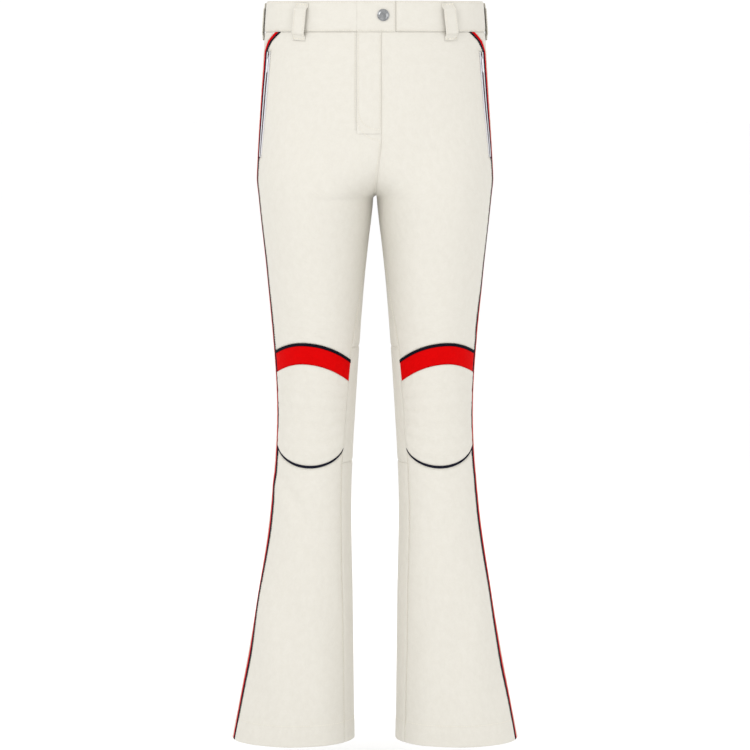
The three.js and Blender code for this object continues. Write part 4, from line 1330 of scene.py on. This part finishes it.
# A turned part from (radius, height) pairs, its axis along the frame's outward direction
def turned(name, profile, axesAt, finish, facets=72):
    angles = np.arange(facets) * 2 * math.pi / facets
    profile = np.array(profile, float)
    rings = np.stack([
        profile[:, None, 0] * np.cos(angles), np.broadcast_to(profile[:, 1:], (len(profile), facets)),
        profile[:, None, 0] * np.sin(angles),
    ], axis=-1)
    points = placed(axesAt, rings.reshape(-1, 3))
    faces = []
    i, j = np.meshgrid(np.arange(len(profile) - 1), np.arange(facets), indexing="ij")
    a, b = i * facets + j, i * facets + (j + 1) % facets
    faces.append(np.stack([a, a + facets, b + facets, b], axis=-1).reshape(-1, 4))
    faces.append(np.arange(facets)[None, :])
    faces.append((len(profile) - 1) * facets + np.arange(facets)[None, ::-1])
    return meshObject(name, points, faces, finish)


def rounded(profile, radius=0.3, steps=4):
    out = [profile[0]]
    for before, at, after in zip(profile, profile[1:], profile[2:]):
        p0, p1, p2 = (np.array(p, float) for p in (before, at, after))
        r = min(radius, np.linalg.norm(p1 - p0) * 0.45, np.linalg.norm(p2 - p1) * 0.45)
        start = p1 + (p0 - p1) / np.linalg.norm(p0 - p1) * r
        end = p1 + (p2 - p1) / np.linalg.norm(p2 - p1) * r
        for k in range(steps + 1):
            t = k / steps
            out.append(tuple((1 - t) ** 2 * start + 2 * t * (1 - t) * p1 + t * t * end))
    return out + [profile[-1]]


def buildSnap():
    axesAt = frameOnSkin(1, lambda z: frontGirth(z) - snap["at"][0], -snap["at"][1], snap["radius"])
    tiny, top = 0.02, snap["dome"]
    cap = [(tiny, -3.1), (1.5, -3.1), (1.5, 0.3), (7.9, 0.3), (8.55, 0.5), (8.7, 0.95), (8.5, 1.4), (7.9, 1.62)]
    cap += [(7.35, 1.5), (7.0, 1.62)]
    for k in range(1, 13):
        a = k / 12 * math.pi / 2
        cap.append((max(tiny, 7.0 * math.cos(a)), 1.62 + (top - 1.62) * math.sin(a)))
    pieces = {
        "snap_cap": (cap[:4] + rounded(cap[3:11])[1:] + cap[11:], "waist_tab"),
        "snap_socket": (
            rounded([(1.8, -2.3), (1.8, -3.1), (3.2, -3.1), (3.2, -4.3), (6.0, -4.3), (6.0, -2.3), (1.9, -2.3)]),
            "waist_tab",
        ),
        "snap_stud": (
            [(tiny, -6.6), (1.5, -6.6), (1.5, -4.9), (5.9, -4.9), (6.0, -4.75), (5.9, -4.55), (2.3, -4.55),
             (2.2, -4.45), (2.7, -4.0), (2.65, -3.7), (2.3, -3.42), (tiny, -3.4)],
            "pants",
        ),
        "snap_post": (rounded([(tiny, -7.7), (6.0, -7.7), (6.0, -6.9), (tiny, -6.9)]), "pants"),
    }
    for name, (profile, holder) in pieces.items():
        part = turned(name + "_metal", profile, axesAt, "snap_metal")
        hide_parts(name)
        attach(part, holder)


buildSnap()

# Zips: moulded teeth on woven tape, a slider with a crown, a pull with a cord-ribbed end
zipParts = {
    "slot": 1.6, "tooth": 2.0, "thick": 2.0, "tape": 0.8, "flat": 6.5, "wing": 10.0, "pitch": 1.9,
    "stop": 4.0, "slider": 11.0, "width": 7.6, "plate": 1.1, "fit": 0.4, "pinRise": 2.4,
    "pull": 23.0, "pullWidth": 5.0, "pullThick": 1.0,
}


def cuboids(blocks):
    points, faces = [], []
    order = [(0, 1, 3, 2), (4, 6, 7, 5), (0, 4, 5, 1), (2, 3, 7, 6), (0, 2, 6, 4), (1, 5, 7, 3)]
    for k, corners in enumerate(blocks):
        points.append(corners)
        faces += [[8 * k + c for c in face] for face in order]
    return np.concatenate(points), [np.array(faces)]


def toothAt(hand, z):
    # A moulded tooth: wide at the root, narrower at the head that interlocks
    x0, x1 = hand * (zipParts["slot"] / 2 - 0.55), hand * (zipParts["slot"] / 2 + zipParts["tooth"] - 0.2)
    t0, t1 = zipParts["thick"] / 2 * 0.86, zipParts["thick"] / 2
    d0, d1 = 0.36, 0.55
    out = []
    for x, t, d in ((x0, t0, d0), (x1, t1, d1)):
        out += [(x, -t, z - d), (x, -t, z + d), (x, t, z - d), (x, t, z + d)]
    return np.array(out, float)


def tapeStrip(hand, half, rise, bottom):
    knots = [(zipParts["slot"] / 2 + 0.9, 0.0), (zipParts["flat"], 0.0)]
    knots += [(min(zipParts["wing"], half), rise), (half, rise)]
    xs = np.unique(np.concatenate([np.linspace(knots[0][0], half, 9), [k[0] for k in knots]]))
    ys = np.interp(xs, [k[0] for k in knots], [k[1] for k in knots])
    z = np.linspace(0.0, bottom, 40)
    t = zipParts["tape"] / 2
    grids = []
    for layer in (t, -t):
        x, zz = np.broadcast_arrays(hand * xs[None, :], z[:, None])
        grids.append(np.stack([x, np.broadcast_to(ys + layer, x.shape), zz], axis=-1))
    cloth = np.stack([grids[0][..., 0], grids[0][..., 2], np.broadcast_to(half - xs, grids[0].shape[:2])], axis=-1)
    return grids, cloth


def buildZip(name, axesAt, length, half, rise, bodies):
    bottom = -length - zipParts["stop"]
    for hand, label in ((-1, "right"), (1, "left")):
        (outer, inner), cloth = tapeStrip(hand, half, rise, bottom)
        points, faces = closedGrid(placed(axesAt, outer), placed(axesAt, inner))
        both = np.concatenate([cloth, cloth]).reshape(-1, 3)
        tape = meshObject(f"{name}_zip_tape_{label}", points, faces, "zip_tape", cloth=both)
        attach(tape, "pants")
        if hand < 0:
            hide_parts(name + "_zip")
    blocks = []
    count = int((-bottom - 1.0) / zipParts["pitch"])
    for k in range(count):
        z = -0.6 - k * zipParts["pitch"]
        blocks += [toothAt(-1, z), toothAt(1, z - zipParts["pitch"] / 2)]
    points, faces = cuboids(blocks)
    teeth = meshObject(name + "_zip_teeth", placed(axesAt, points), faces, "zip_teeth")
    teeth.data.polygons.foreach_set("use_smooth", [False] * len(teeth.data.polygons))
    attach(teeth, "pants")
    sliderPiece = detailedSlider(name, axesAt)
    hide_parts(name + "_slider")
    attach(sliderPiece, bodies[0])
    pullPiece = detailedPull(name, axesAt)
    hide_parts(name + "_pull")
    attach(pullPiece, bodies[1])


# A closed slab from an outline across (x) and along (z), between two heights, with bevelled rims
def slab(outline, y0, y1, bevel):
    outline = np.array(outline, float)
    middle = outline.mean(axis=0)
    size = np.abs(outline - middle).max()
    small = middle + (outline - middle) * (1 - bevel / size)
    rings = [(small, y0), (outline, y0 + bevel), (outline, y1 - bevel), (small, y1)]
    n = len(outline)
    points = np.concatenate([np.stack([r[:, 0], np.full(n, y), r[:, 1]], axis=-1) for r, y in rings])
    i, j = np.meshgrid(np.arange(3), np.arange(n), indexing="ij")
    a, b = i * n + j, i * n + (j + 1) % n
    quads = np.stack([a, b, b + n, a + n], axis=-1).reshape(-1, 4)
    return points, [quads, np.arange(n)[None, ::-1], 3 * n + np.arange(n)[None, :]]


def merged(parts):
    points, faces, base = [], [], 0
    for p, f in parts:
        points.append(p)
        faces += [block + base for block in f]
        base += len(p)
    return np.concatenate(points), faces


def tube(path, radius, facets=10):
    path = np.array(path, float)
    runs = np.gradient(path, axis=0)
    runs /= np.linalg.norm(runs, axis=1, keepdims=True)
    reference = np.array([1.0, 0.0, 0.0]) if abs(runs[0][0]) < 0.9 else np.array([0.0, 1.0, 0.0])
    a = np.cross(runs, reference)
    a /= np.linalg.norm(a, axis=1, keepdims=True)
    b = np.cross(runs, a)
    turn = np.arange(facets) * 2 * math.pi / facets
    across, up = np.cos(turn)[None, :, None], np.sin(turn)[None, :, None]
    points = path[:, None] + radius * (a[:, None] * across + b[:, None] * up)
    n = len(path)
    i, j = np.meshgrid(np.arange(n - 1), np.arange(facets), indexing="ij")
    p, q = i * facets + j, i * facets + (j + 1) % facets
    faces = [np.stack([p, q, q + facets, p + facets], axis=-1).reshape(-1, 4)]
    faces += [np.arange(facets)[None, ::-1], (n - 1) * facets + np.arange(facets)[None, :]]
    return points.reshape(-1, 3), faces


def detailedSlider(name, axesAt):
    half, long = zipParts["width"] / 2, zipParts["slider"]
    plateIn = zipParts["thick"] / 2 + zipParts["fit"]
    plateOut = plateIn + zipParts["plate"]
    # Broad shoulders at the top, narrower at the foot
    outline = []
    for z, x in ((0.0, 0.80), (-0.5, 0.95), (-1.6, 1.0), (-4.5, 0.98), (-7.5, 0.84), (-10.2, 0.76), (-11.0, 0.62)):
        outline.append((half * x, z))
    outline += [(-x, z) for x, z in outline[::-1]]
    parts = [
        slab(outline, plateIn, plateOut, 0.3),
        slab(outline, -plateOut, -plateIn, 0.3),
        slab([(0.35, -0.2), (0.35, -3.4), (-0.35, -3.4), (-0.35, -0.2)], -plateIn - 0.1, plateIn + 0.1, 0.05),
    ]
    # Crown that carries the pull's pin
    pinDown, pinHigh = long * 0.4, plateOut + zipParts["pinRise"]
    arch, crown = [], pinHigh + 1.35 - plateOut + 0.3
    for k in range(13):
        a = math.pi * k / 12
        arch.append((0.0, plateOut - 0.3 + crown * math.sin(a) ** 0.7, -pinDown + 1.45 * math.cos(a)))
    parts.append(tube(arch, 0.5))
    points, faces = merged(parts)
    return meshObject(name + "_slider_metal", placed(axesAt, points), faces, "zip_metal")


def detailedPull(name, axesAt):
    long, half, t = zipParts["pull"], zipParts["pullWidth"] / 2, zipParts["pullThick"] / 2
    pinDown = zipParts["slider"] * 0.4
    pinHigh = zipParts["thick"] / 2 + zipParts["fit"] + zipParts["plate"] + zipParts["pinRise"]
    armDown = 2.8
    parts = [tube([(-half, 0, 0), (0, 0, 0), (half, 0, 0)], 0.6, 14)]
    for hand in (-1, 1):
        x0, x1 = sorted((hand * half, hand * (half - 1.0)))
        parts.append(slab([(x1, 0.5), (x1, -armDown - 0.8), (x0, -armDown - 0.8), (x0, 0.5)], -t, t, 0.12))
    end = half - long
    outline = [(half * 0.92, -armDown), (half, -armDown - 0.5), (half * 0.86, -8.0), (half * 0.9, -13.0), (half, end)]
    outline += [(half * math.cos(a), end - half * math.sin(a)) for a in np.linspace(0.25, math.pi - 0.25, 11)]
    outline += [(-half, end), (-half * 0.9, -13.0), (-half * 0.86, -8.0)]
    outline += [(-half, -armDown - 0.5), (-half * 0.92, -armDown)]
    parts.append(slab(outline, -t, t, 0.18))
    for k in range(5):
        z = -10.5 - k * 1.9
        ridge = [(1.75, z + 0.4), (1.75, z - 0.4), (-1.75, z - 0.4), (-1.75, z + 0.4)]
        parts += [slab(ridge, t - 0.1, t + 0.25, 0.1), slab(ridge, -t - 0.25, -t + 0.1, 0.1)]
    points, faces = merged(parts)
    points = points + np.array([0.0, pinHigh, -pinDown])
    return meshObject(name + "_pull_moulded", placed(axesAt, points), faces, "zip_pull")


# Woven lips that cover the edges of the pocket's opening and leave room for the pull
def buildLips(side, word):
    gap = pattern["pocketGap"]
    for label, near, beyond in (("outer", 0.05, 2.35), ("inner", gap - 2.3, gap - 0.05)):
        lip = clothPiece(
            f"{word}_pocket_lip_{label}", [], side, lambda z, d=near: stripeEdge(z) + d,
            lambda z, d=beyond: stripeEdge(z) + d, [pocketStart - 0.3, pocketEnd + 0.3], "zip_tape",
            drop=0.1, thick=0.8, dip=0.1, pitch=4.0, columnPitch=0.8, narrow=True,
            relief=lambda g, z, p, d: 0.25 * np.sin(p * math.pi),
        )
        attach(lip, "pants")


def buildZips():
    top, length = bandBottom - fly["zipDown"], fly["zipLength"]
    onSkin = lambda z: skinSpot(1, float(frontGirth(z)) - 1e-3, z)
    axesAt = frameBetween(onSkin(top), onSkin(top - length), np.array([0.0, -1.0, 0.0]), 9.2)
    buildZip("fly", axesAt, length, 18.0, 4.9, ("fly_slider", "fly_pull"))
    for side, word in sides:
        middle = lambda z: float(stripeEdge(z)) + pattern["pocketGap"] / 2
        high, low = pocketStart - 3, pocketEnd + 3 + zipParts["stop"]
        out = skinOut(side, middle(high), high) + skinOut(side, middle(low), low)
        axesAt = frameBetween(skinSpot(side, middle(high), high), skinSpot(side, middle(low), low), out, 4.6)
        bodies = (word + "_pocket_slider", word + "_pocket_pull")
        buildZip(word + "_pocket", axesAt, high - low, 9.0, 0.0, bodies)
        buildLips(side, word)


buildZips()
print("zips and snap built")


# Topstitching
def buildStitching():
    def front(offset):
        return lambda z: stripeEdge(z) + offset

    for side, word in sides:
        legHeights = heights(bandBottom - 2, hem + 2)
        lines = [skinLine(side, lambda z: stripeBack(z) - thread["inset"], legHeights)]
        pieces = [heights(bandBottom - 2, pocketStart + 2), heights(pocketEnd - 2, knee + 78)]
        pieces.append(heights(knee - 76, hem + 2))
        lines += [skinLine(side, front(thread["inset"]), z) for z in pieces]
        for top, bottom in ((crotch - 12, knee + 68), (knee - 68, hem + 2)):
            lines.append(skinLine(side, lambda z: innerSeam(z) - 2.4, heights(top, bottom)))
        hemAt = np.linspace(0, 1, 140)
        for start, end in ((stripeEdge, innerSeam), (innerSeamFromBack, stripeBack)):
            z = np.full_like(hemAt, hem + cuff["turnUp"])
            lines.append(skinLine(side, mix(start(z) + 2, end(z) - 2, hemAt), z, 0.12))
        for curve in (lambda p: bandTop(p) + thread["inset"], lambda p: panelBottom(p) - thread["inset"]):
            lines.append(acrossLine(side, curve))
        leg = stitchLines(word + "_leg_stitching", lines)
        bendAtKnee(leg)
        # Round the pocket's opening
        slotSide = front(pattern["pocketGap"] + thread["inset"])
        around = [skinLine(side, slotSide, heights(pocketStart, pocketEnd), size=0.85)]
        for z0 in (pocketStart + 2.0, pocketEnd - 2.0):
            girth = np.linspace(2.0, pattern["pocketGap"] + 2.0, 8)
            around.append(skinLine(side, float(stripeEdge(z0)) + girth, np.full(8, z0), size=0.85))
        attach(stitchLines(word + "_pocket_stitching", around), "pants")
        rows = range(quilting["channels"])
        channels = [acrossLine(side, lambda p, k=k: channelLines(p)[k], 0.55, 0.75) for k in rows]
        bendAtKnee(stitchLines(word + "_quilting_stitching", channels))
    waistLines = []
    for side, end in ((-1, pattern["tabHinge"]), (1, pattern["tabReach"])):
        for z0 in (-thread["rim"], thread["rim"] - pattern["bandHeight"]):
            z = np.full(160, z0)
            girth = np.linspace(-float(backGirth(z0)) + 1, float(frontGirth(z0)) - end, 160)
            waistLines.append(skinLine(side, girth, z, size=0.85))
    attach(stitchLines("waistband_stitching", waistLines), "pants")
    tabLines = []
    for z0 in (-thread["rim"], thread["rim"] - pattern["bandHeight"]):
        x = np.linspace(pattern["tabHinge"], thread["rim"] - pattern["tabReach"], 30)
        tabLines.append(skinLine(1, float(frontGirth(z0)) + x, np.full(30, z0), size=0.85))
    edge = heights(-thread["rim"], thread["rim"] - pattern["bandHeight"], 2.0)
    tabLines.append(skinLine(1, lambda z: frontGirth(z) - pattern["tabReach"] + thread["rim"], edge, size=0.85))
    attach(stitchLines("tab_stitching", tabLines), "waist_tab")
    buildFlyStitching()


# Two rows of stitching run down beside the fly and curve in to its edge
flyStitch = {"outer": 28.4, "inner": 24.2, "straightTo": -158.0, "outerEnd": -199.0, "innerEnd": -184.0}


def flyCurve(across, end):
    straight = heights(bandBottom - 2, flyStitch["straightTo"])
    turn = np.linspace(0, math.pi / 2, 24)[1:]
    wide = across + 6.5
    x = np.concatenate([np.full_like(straight, -across), -across + wide * (1 - np.cos(turn))])
    z = np.concatenate([straight, flyStitch["straightTo"] + (end - flyStitch["straightTo"]) * np.sin(turn)])
    return x, z


def buildFlyStitching():
    x, z = flyCurve(flyStitch["outer"], flyStitch["outerEnd"])
    outer = skinLine(-1, frontGirth(z) + x, z, 0.15, 0.95)
    down = heights(flapBottom - 12, crotch + 4)
    seam = skinLine(-1, frontGirth(down) + centreShift(down) - 2.4, down)
    backHeights = heights(bandBottom - 2, crotch + 4)
    back = [skinLine(side, lambda z: 2.4 - backGirth(z), backHeights) for side in (-1, 1)]
    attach(stitchLines("centre_stitching", [outer, seam] + back), "pants")
    x, z = flyCurve(flyStitch["inner"], flyStitch["innerEnd"])
    inner = skinLine(-1, frontGirth(z) + x, z, 0.25, 0.95)
    edge = heights(bandBottom - 2, flapBottom + 8)
    along = skinLine(-1, lambda h: frontGirth(h) + pattern["flapEdge"] - thread["inset"], edge, 0.1)
    openWithTab(stitchLines("fly_stitching", [inner, along]))


buildStitching()
print("stitching done")
